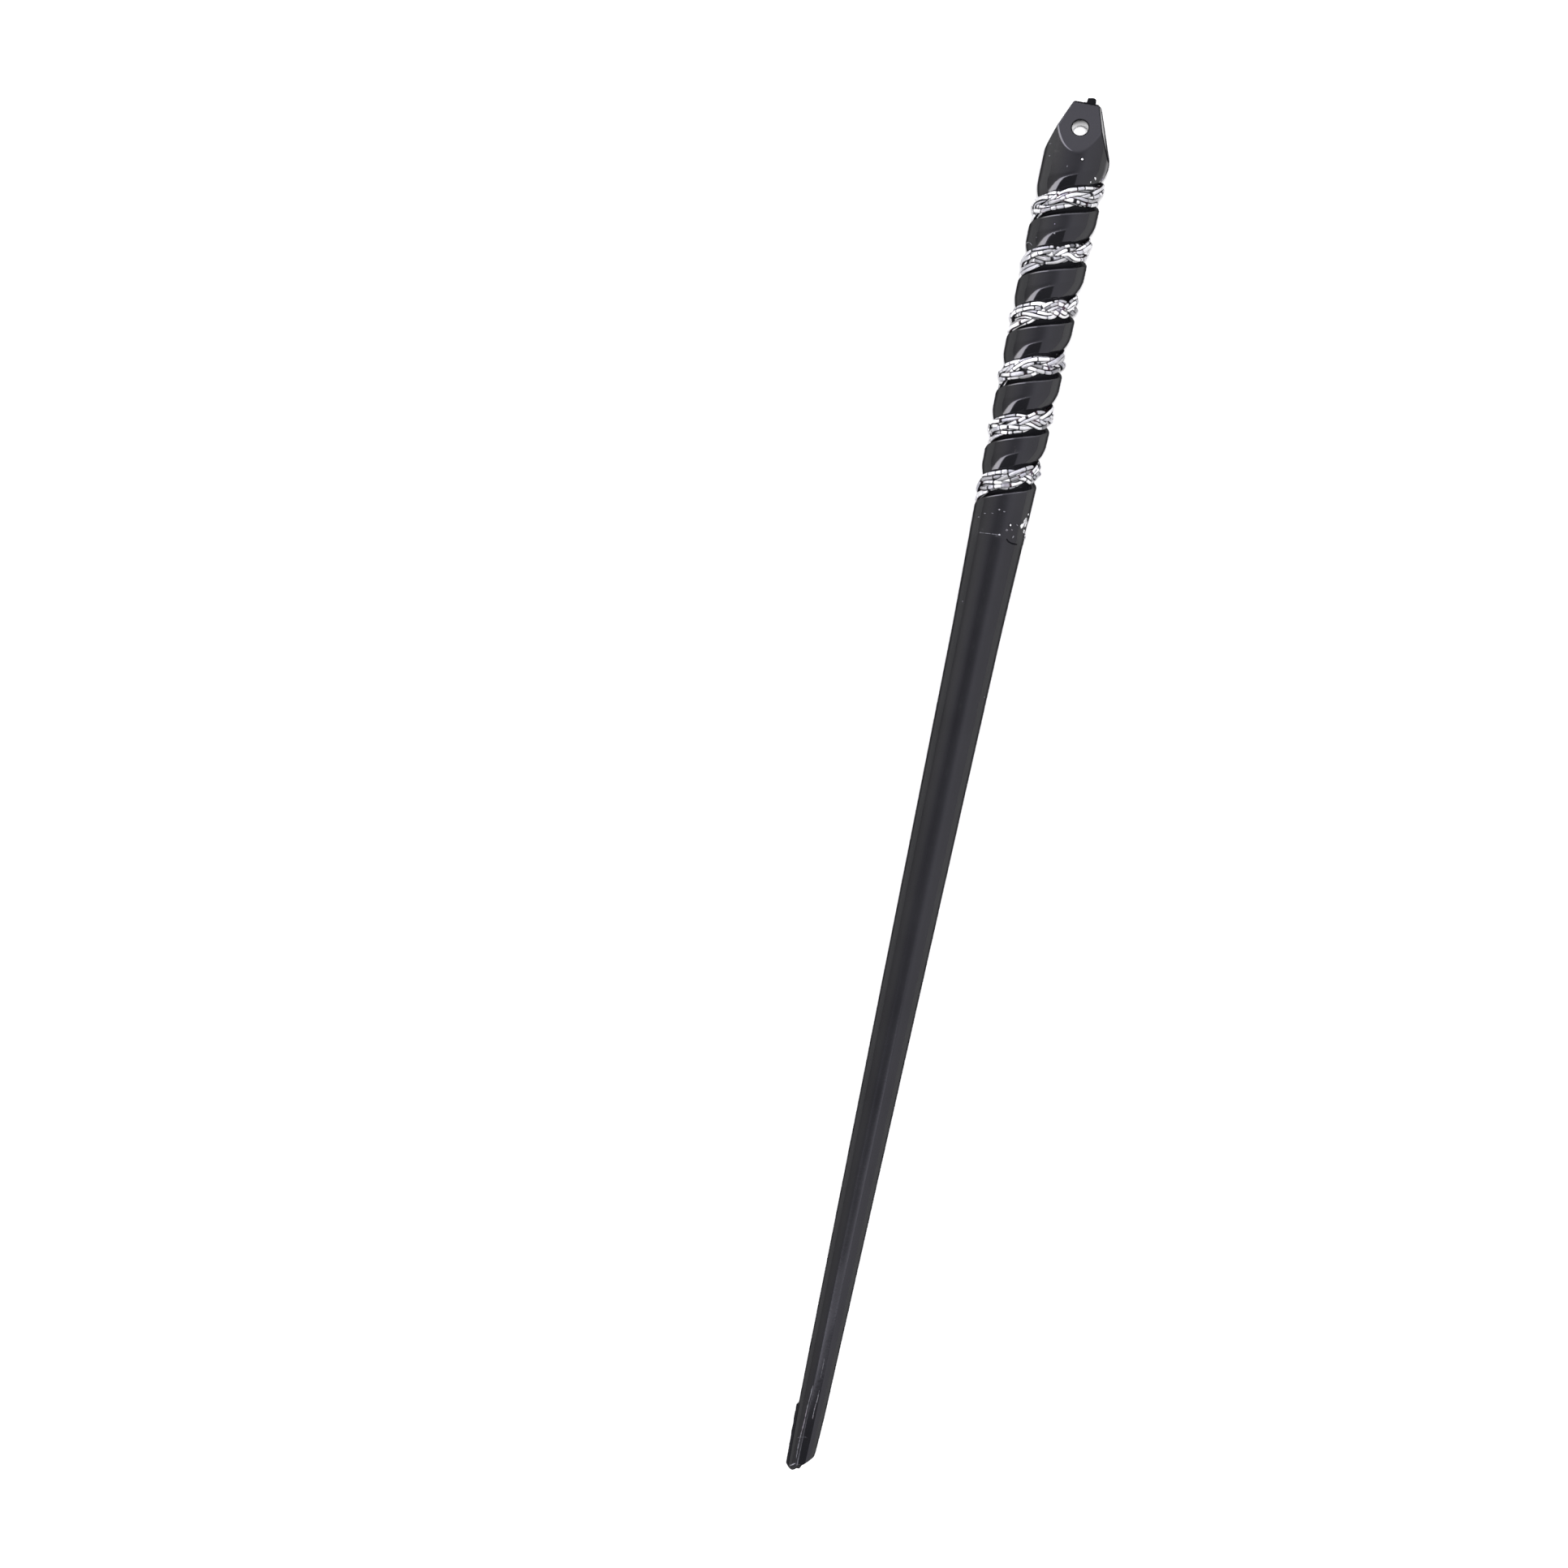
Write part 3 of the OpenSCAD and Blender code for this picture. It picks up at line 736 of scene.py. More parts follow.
def contact_shade_of(pts, place_a, own):
    """How close each point of a strand lies to another one or the groove, 1 where it touches: the
    foil paints shade there.
    """
    x, a = pts[:, 0], np.degrees(np.arctan2(-pts[:, 1], pts[:, 2]))
    a = a + 360 * np.round((place_a - a) / 360)
    u, h = x - groove_x(a), np.hypot(pts[:, 1], pts[:, 2]) - body_r(x)
    gap = h - floor_height(u, a, groove_fade(a)) + 0.03
    for k in range(len(braid_u)):
        if k != own:
            uk, hk = np.interp(a, braid_a, braid_u[k]), np.interp(a, braid_a, braid_h[k])
            near = np.hypot(u - uk, h - hk) - braid_rad[k]
            gap = np.minimum(gap, np.where(hk > h - 1.15 * braid_rad[k], near, 1))
    return smooth((0.17 - gap) / 0.07)


def ease(path, times):
    """Draws each inner point of a path towards its neighbours, in place."""
    for _ in range(times):
        path[1:-1] = 0.25 * path[:-2] + 0.5 * path[1:-1] + 0.25 * path[2:]


def tube_faces(rows, around):
    """Corners and sizes of a tube's faces, with a cap on each end."""
    k = np.arange(rows - 1)[:, None] * around
    i = np.arange(around)[None]
    m = (i + 1) % around
    quads = np.stack([k + i, k + m, k + around + m, k + around + i], -1).reshape(-1, 4)
    caps = [np.arange(around)[::-1], (rows - 1) * around + np.arange(around)]
    return (np.concatenate([quads.ravel(), *caps]),
            np.concatenate([np.full(len(quads), 4), [around, around]]))


# The foil of a strand is cracked across, and its cracks get painted shade; the gaps between
# cracks in mm, with their shares
CRACK_GAPS, CRACK_SHARES = [0.75, 1.1, 1.6, 2.3, 3.3], [.22, .3, .26, .14, .08]
CRACK_SHAPE = ((-1, -0.035, 0.0), (-1, 0.01, 1.0), (0, 0.0, 1.0), (1, -0.01, 1.0),
               (1, 0.035, 0.0))
DULL_LEVELS, DULL_SHARES = [0, 0.45, 0.65], [.80, .12, .08]
BROKEN_SHARE, RING_STEP, STRAND_SIDES, STRAND_END = 0.24, 0.21, 22, 0.35


def cracked_places(rng, total):
    """Where the rings of a strand go, how open a crack each lies in, and in which piece of foil.

    Gives the number of pieces too, into which the cracks part the strand.
    """
    count = int(total / 0.8)
    cracks = np.cumsum(rng.choice(CRACK_GAPS, size=count, p=CRACK_SHARES)
                       * rng.uniform(0.85, 1.15, count))
    cracks = cracks[cracks < total - 0.6]
    broken = rng.random(len(cracks)) < BROKEN_SHARE
    deep = np.where(broken, 1.0, rng.uniform(0.5, 1.0, len(cracks)))
    wide = np.where(broken, rng.uniform(0.10, 0.26, len(cracks)), 0.05)
    at = np.arange(0, total, RING_STEP)
    near = np.clip(np.searchsorted(cracks, at), 0, len(cracks) - 1)
    gap = np.minimum.reduce([np.abs(at - cracks[n]) - wide[n]
                             for n in (near, np.maximum(near - 1, 0))])
    at = at[gap > 0.08]
    places = np.concatenate([at] + [cracks + end * wide + dx for end, dx, _ in CRACK_SHAPE])
    open_ = np.concatenate([0 * at] + [deep * o for _, _, o in CRACK_SHAPE])
    order = np.argsort(places)
    order = order[(places[order] > 0) & (places[order] < total)]
    places = places[order]
    return places, open_[order], np.searchsorted(cracks, places), len(cracks) + 1


def strand_mesh(k):
    """One strand of foil-covered cord: a tube with cracks across it, a little lumpy."""
    seed = 100 + 7 * k
    rng = np.random.default_rng(seed)
    x, a = groove_x(braid_a) + braid_u[k], braid_a
    core, out = polar(x, a, body_r(x) + braid_h[k]), polar(0 * a, a, 1.0)
    length = np.concatenate([[0], np.cumsum(np.linalg.norm(np.diff(core, axis=0), axis=1))])
    total = length[-1]
    places, open_, piece, pieces = cracked_places(rng, total)
    tone = rng.uniform(0, 1, pieces)[piece]
    dull = rng.choice(DULL_LEVELS, size=pieces, p=DULL_SHARES)[piece]
    pos, up = (np.stack([np.interp(places, length, line[:, n]) for n in range(3)], -1)
               for line in (core, out))
    ease(pos, 2)
    tangent = np.gradient(pos, axis=0)
    tangent /= np.linalg.norm(tangent, axis=1)[:, None]
    up -= (up * tangent).sum(1)[:, None] * tangent
    up /= np.linalg.norm(up, axis=1)[:, None]
    side = np.cross(tangent, up)
    rad = braid_rad[k] * (1 + 0.08 * waves(seed + 1, (3.1, 1.7), places)) * (1 - 0.36 * open_)
    rad = rad * (1 + 0.07 * rng.uniform(-1, 1, pieces)[piece])
    rad = rad * np.sqrt(np.clip(np.minimum(places, total - places) / STRAND_END, 0.02, 1))
    squash = 1 + 0.10 * waves(seed + 2, (5.3, 2.9), places)
    theta = np.arange(STRAND_SIDES) * 2 * math.pi / STRAND_SIDES
    dent = 1 + 0.035 * np.sin(2 * theta[None] + places[:, None] * 1.7) + 0.02 * np.sin(
        5 * theta[None] + places[:, None] * 4.1)
    ring = (pos[:, None] + (rad[:, None] * dent)[..., None] * (
        up[:, None] * np.cos(theta)[None, :, None] * (2 - squash)[:, None, None]
        + side[:, None] * np.sin(theta)[None, :, None] * squash[:, None, None]))
    pts = ring.reshape(-1, 3)
    place_a = np.repeat(np.interp(places, length, a), STRAND_SIDES)
    # the foil paints shade in the cracks, down the sides by the angle round the strand, and where
    # it touches; duller pieces keep their own darker tone
    values = {"crack": np.repeat(np.maximum(open_, dull), STRAND_SIDES),
              "tone": np.repeat(tone, STRAND_SIDES),
              "round": np.tile(np.minimum(theta, 2 * math.pi - theta), len(places)),
              "contact_shade": contact_shade_of(pts, place_a, k)}
    return pts, *tube_faces(len(places), STRAND_SIDES), values


braid_a, braid_u, braid_h, braid_rad = lay_strands()
strands = [make_mesh(f"silver_strand_{k + 1}", *strand_mesh(k)) for k in range(len(braid_u))]

# Camera: straight above, with the photograph's size and focal length in pixels
PHOTO_SIZE, PHOTO_MIDDLE, PHOTO_FOCAL = 1932, 966, 5400
SENSOR, CAMERA_HEIGHT = 36, 0.56897
LEAN, LOOK_X, LOOK_LEFT, LOOK_UP = math.radians(11.918), -0.000344, 0.02055, 0.00061
image_up = Vector((math.cos(LEAN), math.sin(LEAN), 0))
image_right = Vector((math.sin(LEAN), -math.cos(LEAN), 0))
look = Vector((LOOK_X, 0, 0)) - LOOK_LEFT * image_right + LOOK_UP * image_up
camera = add_object("camera", bpy.data.cameras.new("camera"))
camera.data.sensor_width = SENSOR
camera.data.lens = SENSOR * PHOTO_FOCAL / PHOTO_SIZE
camera.data.clip_start, camera.data.clip_end = 0.01, 10
camera.location = look + Vector((0, 0, CAMERA_HEIGHT))
camera.rotation_euler = (0, 0, -(math.pi / 2 - LEAN))
bpy.context.scene.camera = camera

# Small marks, each placed by its pixel of the photograph and seated on the stick's surface
# below that pixel. A lump has its pixel, then length, width and height in mm, the heading in
# degrees and the tone.
FOIL_FLAKES = (
    (1333.3, 196.3, 0.26, 0.34, 0.16, 20, 1.0), (1293.3, 192.1, 0.20, 0.24, 0.06, 0, -.56),
    (1315, 205, 0.22, 0.26, 0.05, 30, -.80), (1294, 177, 0.11, 0.42, 0.06, 12, -.62),
    (1341.7, 177.5, 0.12, 0.26, 0.04, 8, -.88), (1343.7, 224.4, 0.30, 0.20, 0.14, 30, 0.5),
    (1349.4, 220, 0.22, 0.52, 0.18, -35, 0.8), (1358, 221, 0.55, 0.35, 0.16, 20, -.4),
    (1299.5, 276, 0.18, 0.18, 0.04, 0, -.90), (1299.2, 287.5, 0.18, 0.22, 0.06, 0, -.45),
    (1277, 292.5, 0.20, 0.18, 0.04, 0, -.84), (1231.5, 628, 0.18, 0.24, 0.08, 20, -.35),
    (1237.5, 630.5, 0.13, 0.24, 0.06, 0, -.4), (1213.5, 632.5, 0.12, 0.30, 0.05, 5, -.7),
    (1222.8, 632.5, 0.12, 0.30, 0.05, -8, -.7), (1206, 637, 0.11, 0.42, 0.06, 8, -.5),
    (1245, 647, 0.26, 0.26, 0.14, 0, 1.0), (1240.5, 653, 0.26, 0.30, 0.06, 25, -.6),
    (1246.8, 653, 0.16, 0.26, 0.06, -30, -.5), (1248.3, 661.5, 0.34, 0.18, 0.08, -20, -.4),
    (1253.3, 647, 0.12, 0.34, 0.06, -28, -.5), (1231.5, 659, 0.20, 0.26, 0.08, 0, 0.1),
    (1186, 741, 0.17, 0.15, 0.05, 0, -.6), (1213, 859, 0.17, 0.15, 0.05, 0, -.45))
GLUE_RESIDUE = (
    (1263, 644, 1.25, 0.95, 0.16, 15, 0.8), (1259, 648, 0.75, 0.55, 0.09, -20, 0.1),
    (1262.5, 661, 0.62, 0.55, 0.22, 0, 1.0), (1266.8, 634, 0.26, 0.24, 0.16, 0, 1.0),
    (1261.5, 655, 0.5, 0.4, 0.10, 40, 0.2))
# black rings round the brightest specks, painted shade of the pits they sit in
PIT_SHADE_RINGS = ((1333.4, 196.4, 0.52, 0.56, 0.03, 0, -1.0), (1245, 647, 0.50, 0.50, 0.03, 0, -1.0),
               (1266.6, 634, 0.46, 0.42, 0.03, 0, -1.0))
# A line has the pixels along it, then radius, height above the surface and arch in mm, the
# darkness, a seed and the unevenness of its thickness. First a fibre that has come loose from
# the foil and arches over the ridge.
LOOSE_FIBRE = (((1264.6, 301.0), (1265.2, 299.4), (1267.2, 298.4), (1269.3, 298.8),
                (1270.8, 300.2), (1272.0, 302.6)), 0.036, 0.03, 0.05, 0.45, 0, 0)
# the worn edges of the tip's flat, also a painted highlight, a painted highlight on its broken
# edge, a scratch, and a painted highlight on the mould's line on the seam
WORN_AND_LIT_LINES = {
    "worn_lit_edge_left": (((1002, 1706), (998, 1722), (993, 1741), (991, 1753), (987, 1766),
                        (986, 1772), (983, 1784), (981, 1797)), 0.06, -0.02, 0, 0.62, 5, 0.5),
    "worn_lit_edge_right": (((1009.5, 1713), (1007, 1726), (1004, 1734), (1002.5, 1741),
                         (1001, 1749)), 0.05, -0.01, 0, 0.60, 6, 0.6),
    "worn_lit_edge_high": (((1016, 1672), (1014, 1684), (1011, 1698)), 0.04, -0.01, 0, 0.72, 7, 0.6),
    "broken_edge_highlight": (((973, 1806), (976, 1804.8), (980.5, 1803)), 0.07, -0.02, 0, 0.35, 8, 0.4),
    "tip_scratch": (((982, 1771.5), (988, 1770.6), (995, 1771.2)), 0.03, -0.01, 0, 0.82, 9, 0.5),
    "seam_line_highlight": (((1206, 656), (1212, 656.9), (1219, 657.5), (1226, 658.4), (1231.5, 659)),
                  0.05, -0.02, 0, 0.72, 10, 0.5)}
# black lines along the dent's edge: painted shade of its lip
DENT_EDGE_SHADES = {
    "dent_edge_shade_left": (((1240, 663.5), (1241.5, 666.5), (1244, 668.5), (1248.5, 670.3),
                        (1254, 671)), 0.13, -0.07, 0, 1.0, 11, 0.15),
    "dent_edge_shade_right": (((1259.5, 669.4), (1261, 670.4), (1262.5, 671.2)),
                        0.11, -0.06, 0, 1.0, 0, 0)}
# The bar's middle line in the photograph, for a pixel that just misses the stick
AXIS_PX, AXIS_PY, AXIS_SLOPE = 1340, 128, 0.211
FLAKES_SEED, GLUE_SEED, SPOTS_SEED = 300, 340, 380
LUMP_COLUMNS, LUMP_ROWS, LINE_SIDES = 18, 9, 8

bpy.context.view_layer.update()
stick_tree = BVHTree.FromObject(stick, bpy.context.evaluated_depsgraph_get())
BAR_WAY = np.array([math.cos(TILT), 0, math.sin(TILT)])


def seat(px, py):
    """Point of the stick's surface under a pixel, with its normal; a near miss moves inwards."""
    while True:
        ray = (image_right * (px - PHOTO_MIDDLE) - image_up * (py - PHOTO_MIDDLE)) / PHOTO_FOCAL
        hit = stick_tree.ray_cast(camera.location, (ray - Vector((0, 0, 1))).normalized())
        if hit[0] is not None:
            return np.array(hit[0]), np.array(hit[1])
        px += 0.4 if px < AXIS_PX - (py - AXIS_PY) * AXIS_SLOPE else -0.4


def lump(skin, px, py, size, heading, tone, seed):
    """Adds a small uneven lump on the surface; size is its length, width and height in mm.

    Its tone runs from 1, bright foil, down to 0 and on to -1, black, which the rings round the
    brightest specks use as painted shade. Gives the values of its points.
    """
    rng = np.random.default_rng(seed)
    at, up = seat(px, py)
    way = BAR_WAY - up * (BAR_WAY @ up)
    way /= np.linalg.norm(way)
    side = np.cross(up, way)
    c, s = math.cos(math.radians(heading)), math.sin(math.radians(heading))
    way, side = way * c + side * s, side * c - way * s
    lat = np.linspace(0, math.pi, LUMP_ROWS + 1)[1:-1]
    lon = np.arange(LUMP_COLUMNS) * 2 * math.pi / LUMP_COLUMNS
    p = np.stack([np.outer(np.sin(lat), np.cos(lon)), np.outer(np.sin(lat), np.sin(lon)),
                  np.outer(np.cos(lat), np.ones(LUMP_COLUMNS))], -1).reshape(-1, 3)
    p = np.concatenate([p, [[0, 0, 1], [0, 0, -1]]])
    b = rng.uniform(0, 6.28, 4)
    swell = 1 + 0.20 * np.sin(3 * p[:, 0] + b[0]) * np.sin(4 * p[:, 1] + b[1]) + 0.12 * np.sin(
        7 * p[:, 0] + b[2]) * np.sin(6 * p[:, 1] + b[3])
    q = p * swell[:, None] * np.array(size) / 2000
    numbers = skin.add(
        at + up * size[2] / 8000 + q[:, :1] * way + q[:, 1:2] * side + q[:, 2:] * up)
    rings = numbers[:-2].reshape(-1, LUMP_COLUMNS)
    skin.bands(rings)
    skin.fan(rings[0], numbers[-2], low=True)
    skin.fan(rings[-1], numbers[-1])
    flat = np.ones(len(p))
    return {"crack": max(-tone, 0) * flat, "tone": max(tone, 0) * flat, "painted_highlight_and_shade": -flat,
            "round": np.arccos(np.clip(p[:, 2], -1, 1)) * 0.9, "contact_shade": 0 * flat}


def marks(name, rows, seed):
    """One object of several lumps."""
    skin = Skin()
    values = [lump(skin, px, py, size, heading, tone, seed + k)
              for k, (px, py, *size, heading, tone) in enumerate(rows)]
    values = {key: np.concatenate([v[key] for v in values]) for key in values[0]}
    return make_mesh(name, *skin.mesh(), values, place=np.asarray)


def line(name, pixels, radius, rise, arch, crack, seed, worn):
    """A thin line laid on the stick along pixels of the photograph."""
    knots = np.array(pixels, float)
    t = np.linspace(0, len(knots) - 1, 8 * len(knots))
    path = np.stack([np.interp(t, np.arange(len(knots)), knots[:, k]) for k in (0, 1)], -1)
    ease(path, 30)
    rows = [seat(px, py) for px, py in path]
    up = np.array([r[1] for r in rows])
    pos = np.array([r[0] for r in rows]) + up * (rise + arch * np.sin(
        math.pi * t / t[-1]))[:, None] / 1000
    side = np.cross(up, np.gradient(pos, axis=0))
    side /= np.linalg.norm(side, axis=1)[:, None]
    theta = np.arange(LINE_SIDES) * 2 * math.pi / LINE_SIDES
    thick = radius * np.sqrt(np.clip(np.minimum(t, t[-1] - t) / 0.3, 0.05, 1)) / 1000
    thick = thick * np.clip(1 + worn * waves(seed, (1.3, 0.6, 0.37), t), 0.15, 2)
    pts = pos[:, None] + thick[:, None, None] * (
        up[:, None] * np.cos(theta)[None, :, None] + side[:, None] * np.sin(theta)[None, :, None])
    pts = pts.reshape(-1, 3)
    values = {"crack": np.full(len(pts), float(crack)), "painted_highlight_and_shade": np.full(len(pts), -1.0)}
    return make_mesh(name, pts, *tube_faces(len(pos), LINE_SIDES), values, place=np.asarray)


foil_flakes = marks("foil_flakes", FOIL_FLAKES, FLAKES_SEED)
glue = marks("glue_residue", GLUE_RESIDUE, GLUE_SEED)
spots = marks("pit_shade_rings", PIT_SHADE_RINGS, SPOTS_SEED)
fibre = line("loose_fibre", *LOOSE_FIBRE)
worn_and_lit_lines = [line(name, *row) for name, row in WORN_AND_LIT_LINES.items()]
dent_edge_shades = [line(name, *row) for name, row in DENT_EDGE_SHADES.items()]


class Graph:
    """Small helper that builds the nodes of one material or world."""

    def __init__(self, tree):
        self.nodes, self.links = tree.nodes, tree.links

    def put(self, socket, value):
        if isinstance(value, (int, float, tuple)):
            socket.default_value = value
        else:
            self.links.new(value, socket)

    def fill(self, inputs, **values):
        """Sets or links inputs by their names; _ in a name stands for a space."""
        for name, value in values.items():
            self.put(inputs[name.replace("_", " ")], value)

    def node(self, kind, **values):
        node = self.nodes.new("ShaderNode" + kind)
        self.fill(node.inputs, **values)
        return node

    def attribute(self, name):
        node = self.node("Attribute")
        node.attribute_name = name
        return node.outputs["Fac"]

    def noise(self, scale, detail=2.0):
        """Noise in the coordinates of the object."""
        place = self.node("TexCoord").outputs["Object"]
        return self.node("TexNoise", Vector=place, Scale=scale, Detail=detail).outputs["Fac"]

    def math(self, kind, *values):
        node = self.node("Math")
        node.operation = kind
        for socket, value in zip(node.inputs, values):
            self.put(socket, value)
        return node.outputs[0]

    def product(self, *values):
        result = values[0]
        for value in values[1:]:
            result = self.math("MULTIPLY", result, value)
        return result

    def step(self, value, low, high, to_low=0.0, to_high=1.0, kind="SMOOTHSTEP"):
        """Smooth rise of value from low to high, or fall where low is the greater."""
        if low > high:
            low, high, to_low, to_high = high, low, to_high, to_low
        node = self.node("MapRange", Value=value, From_Min=low, From_Max=high, To_Min=to_low,
                         To_Max=to_high)
        node.interpolation_type = kind
        return node.outputs["Result"]

    def spread(self, value, to_low, to_high):
        """A value between 0 and 1 spread evenly over another range."""
        return self.step(value, 0.0, 1.0, to_low, to_high, "LINEAR")

    def ramp(self, value, stops, kind="LINEAR"):
        """A ramp through (place, number or colour) stops."""
        node = self.node("ValToRGB", Fac=value)
        node.color_ramp.interpolation = kind
        elements = node.color_ramp.elements
        while len(elements) < len(stops):
            elements.new(0.5)
        for element, (place, colour) in zip(elements, stops):
            element.position = place
            element.color = (*colour, 1) if isinstance(colour, tuple) else (colour,) * 3 + (1,)
        return node.outputs["Color"]

    def mix(self, factor, a, b):
        node = self.node("Mix")
        node.data_type = "RGBA"
        self.fill(node.inputs, Factor=factor, A=a, B=b)
        return node.outputs["Result"]

    def bump(self, height, strength, distance):
        node = self.node("Bump", Height=height, Strength=strength, Distance=distance)
        return node.outputs["Normal"]


# The light tent, which only reflections see: soft white walls on both sides, darker straight
# above. Each wall stop has its place from the image's left, -1, to its right, 1, as the middle
# of the bar mirrors it, then the level and the tint in red and blue. The far walls lie away
# from the camera's own line.
NEAR_WALLS = ((-1.0, .30, 1, 1), (-.97, .34, 1, 1), (-.85, .36, 1, 1), (-.72, .33, 1, 1.02),
              (-.5, .22, 1, 1.1), (-.28, .17, 1, 1.14), (0, .20, 1, 1.15), (.14, .24, 1, 1.15),
              (.28, .32, 1, 1.15), (.42, .43, 1, 1.14), (.55, .50, 1, 1.12),
              (.85, .49, 1, 1.1), (.97, .46, 1, 1.08), (1.0, .40, 1, 1.06))
FAR_WALLS = ((-1.0, .28, 1, 1), (-.85, .38, 1, 1.02), (-.55, .36, 1, 1.12),
             (-.25, .34, 1, 1.14), (0, .35, 1, 1.14), (.3, .42, 1, 1.14), (.6, .46, 1, 1.12),
             (1.0, .40, 1, 1.08))
WALL_GREEN, WALL_LEVEL, WALL_RISE = 0.975, 2.4, 2.6
# towards the image's foot an opening, its middle and the half sizes of its inner and outer arc
OPENING_RIGHT, OPENING_FOOT, OPENING_DARK = 0.25, 0.95, 0.95
INNER_ARC, OUTER_ARC, ARC_POWER, EDGE_LEVEL = (0.86, 0.73), (1.15, 0.79), 6.0, 27.0
PANEL_LEVEL, STRIP_LEVEL = 20.0, 9.0


def light_tent():
    """The tent as a world; across and along are a direction's parts to the right and up."""
    world = bpy.data.worlds.new("studio")
    world.use_nodes = True
    tree = world.node_tree
    g = Graph(tree)
    where = g.node("TexCoord").outputs["Generated"]

    def part(axis):
        node = g.node("VectorMath", Vector=where)
        node.operation = "DOT_PRODUCT"
        node.inputs[1].default_value = axis
        return node.outputs["Value"]

    across, along = part(image_right), part(image_up)
    place = g.math("MULTIPLY_ADD", across, 0.5, 0.5)

    def walls(stops):
        return g.ramp(place, [((1 + at) / 2, (level * red, level * WALL_GREEN, level * blue))
                              for at, level, red, blue in stops])

    off = g.step(g.math("ABSOLUTE", g.math("SUBTRACT", along, 0.015)), 0.02, 0.17)
    colour = g.mix(off, walls(NEAR_WALLS), walls(FAR_WALLS))
    bright = g.math("MULTIPLY_ADD", g.step(along, 0.12, 0.62), WALL_RISE, WALL_LEVEL)

    def arc(wide, tall):
        """Distance from the opening's middle, 1 on an arc of the given half sizes."""
        x = g.math("ABSOLUTE", g.math("DIVIDE", g.math("SUBTRACT", across, OPENING_RIGHT), wide))
        y = g.math("ABSOLUTE", g.math("DIVIDE", g.math("ADD", along, OPENING_FOOT), tall))
        powers = g.math("ADD", g.math("POWER", x, ARC_POWER), g.math("POWER", y, ARC_POWER))
        return g.math("POWER", powers, 1 / ARC_POWER)

    # the opening is dark and round at its upper left, where it has a bright edge
    inner, outer = arc(*INNER_ARC), arc(*OUTER_ARC)
    left = g.step(across, OPENING_RIGHT + 0.015, OPENING_RIGHT - 0.015)
    shut = g.product(g.step(inner, 1.02, 0.98), left)
    edge = g.product(g.step(inner, 1.0, 1.04), g.step(outer, 1.02, 0.96), left,
                     g.step(across, OPENING_RIGHT, -0.62, 0.15, 1.0))
    # a tall panel at the image's upper left is mirrored by the rims and the facet's left edge
    panel = g.product(g.step(along, 0.33, 0.42), g.step(along, 0.93, 0.80),
                      g.step(across, -0.22, -0.32))
    # a low strip at the image's head
    strip = g.product(g.step(along, 0.80, 0.84), g.step(along, 0.985, 0.95),
                      g.step(across, 0.62, 0.45))
    level = g.product(bright, g.math("MULTIPLY_ADD", shut, -OPENING_DARK, 1.0))
    for shape, strength in ((edge, EDGE_LEVEL), (panel, PANEL_LEVEL), (strip, STRIP_LEVEL)):
        level = g.math("ADD", level, g.product(shape, strength))
    g.fill(tree.nodes["Background"].inputs, Color=colour, Strength=level)
    world.cycles_visibility.diffuse = False
    bpy.context.scene.world = world


def node_material(name):
    mat = bpy.data.materials.new(name)
    mat.use_nodes = True
    return mat, Graph(mat.node_tree), mat.node_tree.nodes["Principled BSDF"].inputs


def pale_floor():
    mat, g, shader = node_material("pale_floor")
    g.fill(shader, Base_Color=(0.79, 0.785, 0.80, 1), Roughness=0.9, Specular_IOR_Level=0.0)
    return mat


FLOOR_HALF = 3
floor_mesh = bpy.data.meshes.new("floor")
floor_mesh.from_pydata([(x * FLOOR_HALF, y * FLOOR_HALF, 0)
                        for x, y in ((-1, -1), (1, -1), (1, 1), (-1, 1))], [], [(0, 1, 2, 3)])
floor = add_object("floor", floor_mesh)
floor_mesh.materials.append(pale_floor())

light_tent()
bpy.context.scene.view_settings.view_transform = "Standard"
# one soft square light, nearly straight above and a little to the image's left, which
# reflections don't see
LIGHT_HEIGHT, LIGHT_SIDE, LIGHT_AWAY, RADIANCE = math.radians(88.1), 0.2, 1.2, 202.0
light = bpy.data.lights.new("overhead", "AREA")
light.shape, light.size = "SQUARE", LIGHT_SIDE
light.energy = RADIANCE * math.pi * LIGHT_SIDE**2
overhead = add_object("overhead", light)
towards = Vector((0, 0, math.sin(LIGHT_HEIGHT))) - image_right * math.cos(LIGHT_HEIGHT)
overhead.location = towards * LIGHT_AWAY
overhead.rotation_euler = towards.to_track_quat("Z", "Y").to_euler()
overhead.visible_camera = overhead.visible_glossy = False

# Materials. How strongly the plastic mirrors falls off as its face turns away, painting its
# outlines dark as painted shade.
FALL = ((0, .5), (.18, .5), (.3, .47), (.42, .3), (.52, .15), (.58, .07), (.64, .02), (.70, 0.0),
        (1, 0.0))
FULL_SPECULAR = 0.5


def black_plastic():
    mat, g, shader = node_material("black_plastic")
    fall = g.ramp(g.node("LayerWeight").outputs["Facing"], FALL, "B_SPLINE")
    # the stick's painted highlights and painted black shade set how strongly it mirrors
    painted_highlight_and_shade = g.attribute("painted_highlight_and_shade")
    plain_part = g.math("SUBTRACT", 1.0, g.math("ABSOLUTE", painted_highlight_and_shade))
    mirror = g.product(g.math("MAXIMUM", painted_highlight_and_shade, 0.0), FULL_SPECULAR)
    cloud = g.noise(160, 4)
    g.fill(shader, IOR=1.45, Roughness=g.spread(cloud, 0.06, 0.13),
           Specular_IOR_Level=g.math("MULTIPLY_ADD", fall, plain_part, mirror),
           Base_Color=g.ramp(cloud, ((0, (0.006, 0.006, 0.0075)), (1, (0.012, 0.012, 0.014)))),
           Normal=g.bump(g.noise(2600, 3), strength=0.12, distance=0.00002))
    return mat


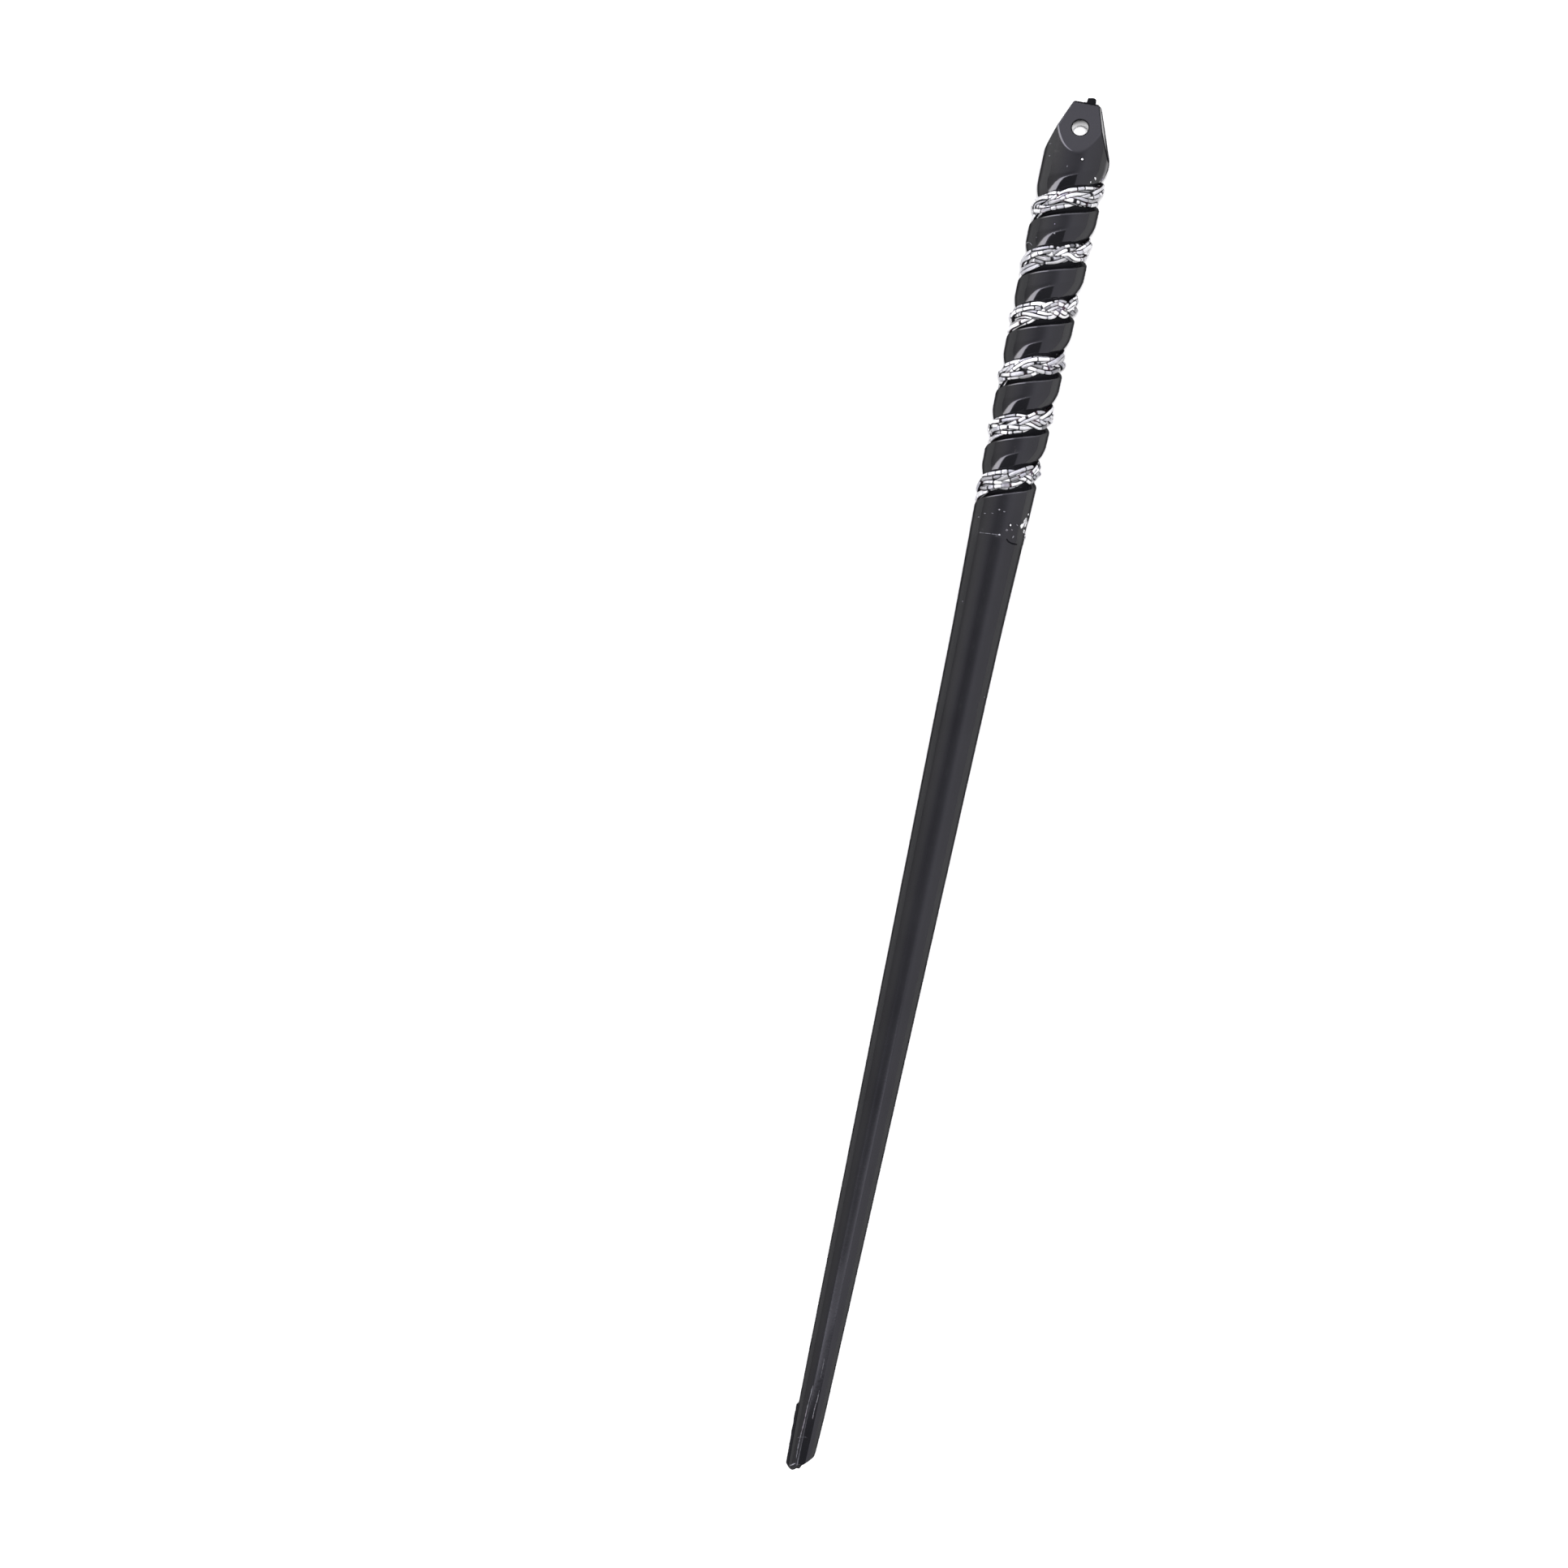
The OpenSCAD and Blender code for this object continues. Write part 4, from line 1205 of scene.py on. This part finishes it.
def silver_foil():
    """Bright foil, with painted shade in its cracks, down its sides and where it touches; duller
    pieces of foil are darker too.
    """
    mat, g, shader = node_material("silver_foil")
    streak = g.noise(1500, 3)
    tone = g.math("MULTIPLY_ADD", g.attribute("tone"), 0.5, g.product(streak, 0.5))
    foil_colour = g.ramp(tone, ((0.22, (0.24, 0.24, 0.27)), (0.72, (0.80, 0.80, 0.81))))
    # the colour of the painted shade: black, with brown patches and lavender-tinted patches
    dark = g.ramp(g.noise(420), ((0, (.010, .010, .012)), (.56, (.010, .010, .012)),
                                 (.62, (.05, .025, .03)), (.72, (.10, .09, .13))))
    # painted shade down the sides of a strand, which turn away from above, and where it touches;
    # the shade also takes away its reflection
    side = g.step(g.math("COSINE", g.attribute("round")), 0.46, 0.10)
    shade = g.math("MAXIMUM", g.math("MAXIMUM", g.attribute("crack"), side),
                   g.attribute("contact_shade"))
    g.fill(shader, Metallic=0.25, IOR=1.5, Roughness=g.spread(streak, 0.28, 0.48),
           Base_Color=g.mix(shade, foil_colour, dark),
           Specular_IOR_Level=g.math("MULTIPLY_ADD", shade, -0.45, FULL_SPECULAR),
           Normal=g.bump(streak, strength=0.35, distance=0.00003))
    return mat


def milky_glue():
    """Milky glue with darker clear patches."""
    mat, g, shader = node_material("glue")
    patches = g.noise(2400, 4)
    colour = g.ramp(patches, ((0, (.05, .05, .055)), (.42, (.10, .10, .11)),
                              (.52, (.55, .55, .57)), (.6, (.78, .78, .79))))
    g.fill(shader, Base_Color=colour, Roughness=0.22,
           Normal=g.bump(patches, strength=0.5, distance=0.00006))
    return mat


plastic, foil = black_plastic(), silver_foil()
stick.data.materials.clear()
stick.data.materials.append(plastic)
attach(stick, "root")
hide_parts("stick")

on_the_stick = [(foil_flakes, foil, "silver_braid"), (fibre, foil, "silver_braid"),
                (glue, milky_glue(), "silver_braid"), (spots, plastic, "black_plastic")]
on_the_stick += [(obj, foil, "black_plastic") for obj in worn_and_lit_lines]
on_the_stick += [(obj, plastic, "black_plastic") for obj in dent_edge_shades]
for obj, mat, slot in on_the_stick:
    obj.data.materials.append(mat)
    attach(obj, "root")
for obj in strands:
    obj.data.materials.append(foil)
    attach(obj, "root")
    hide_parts("braid_band")
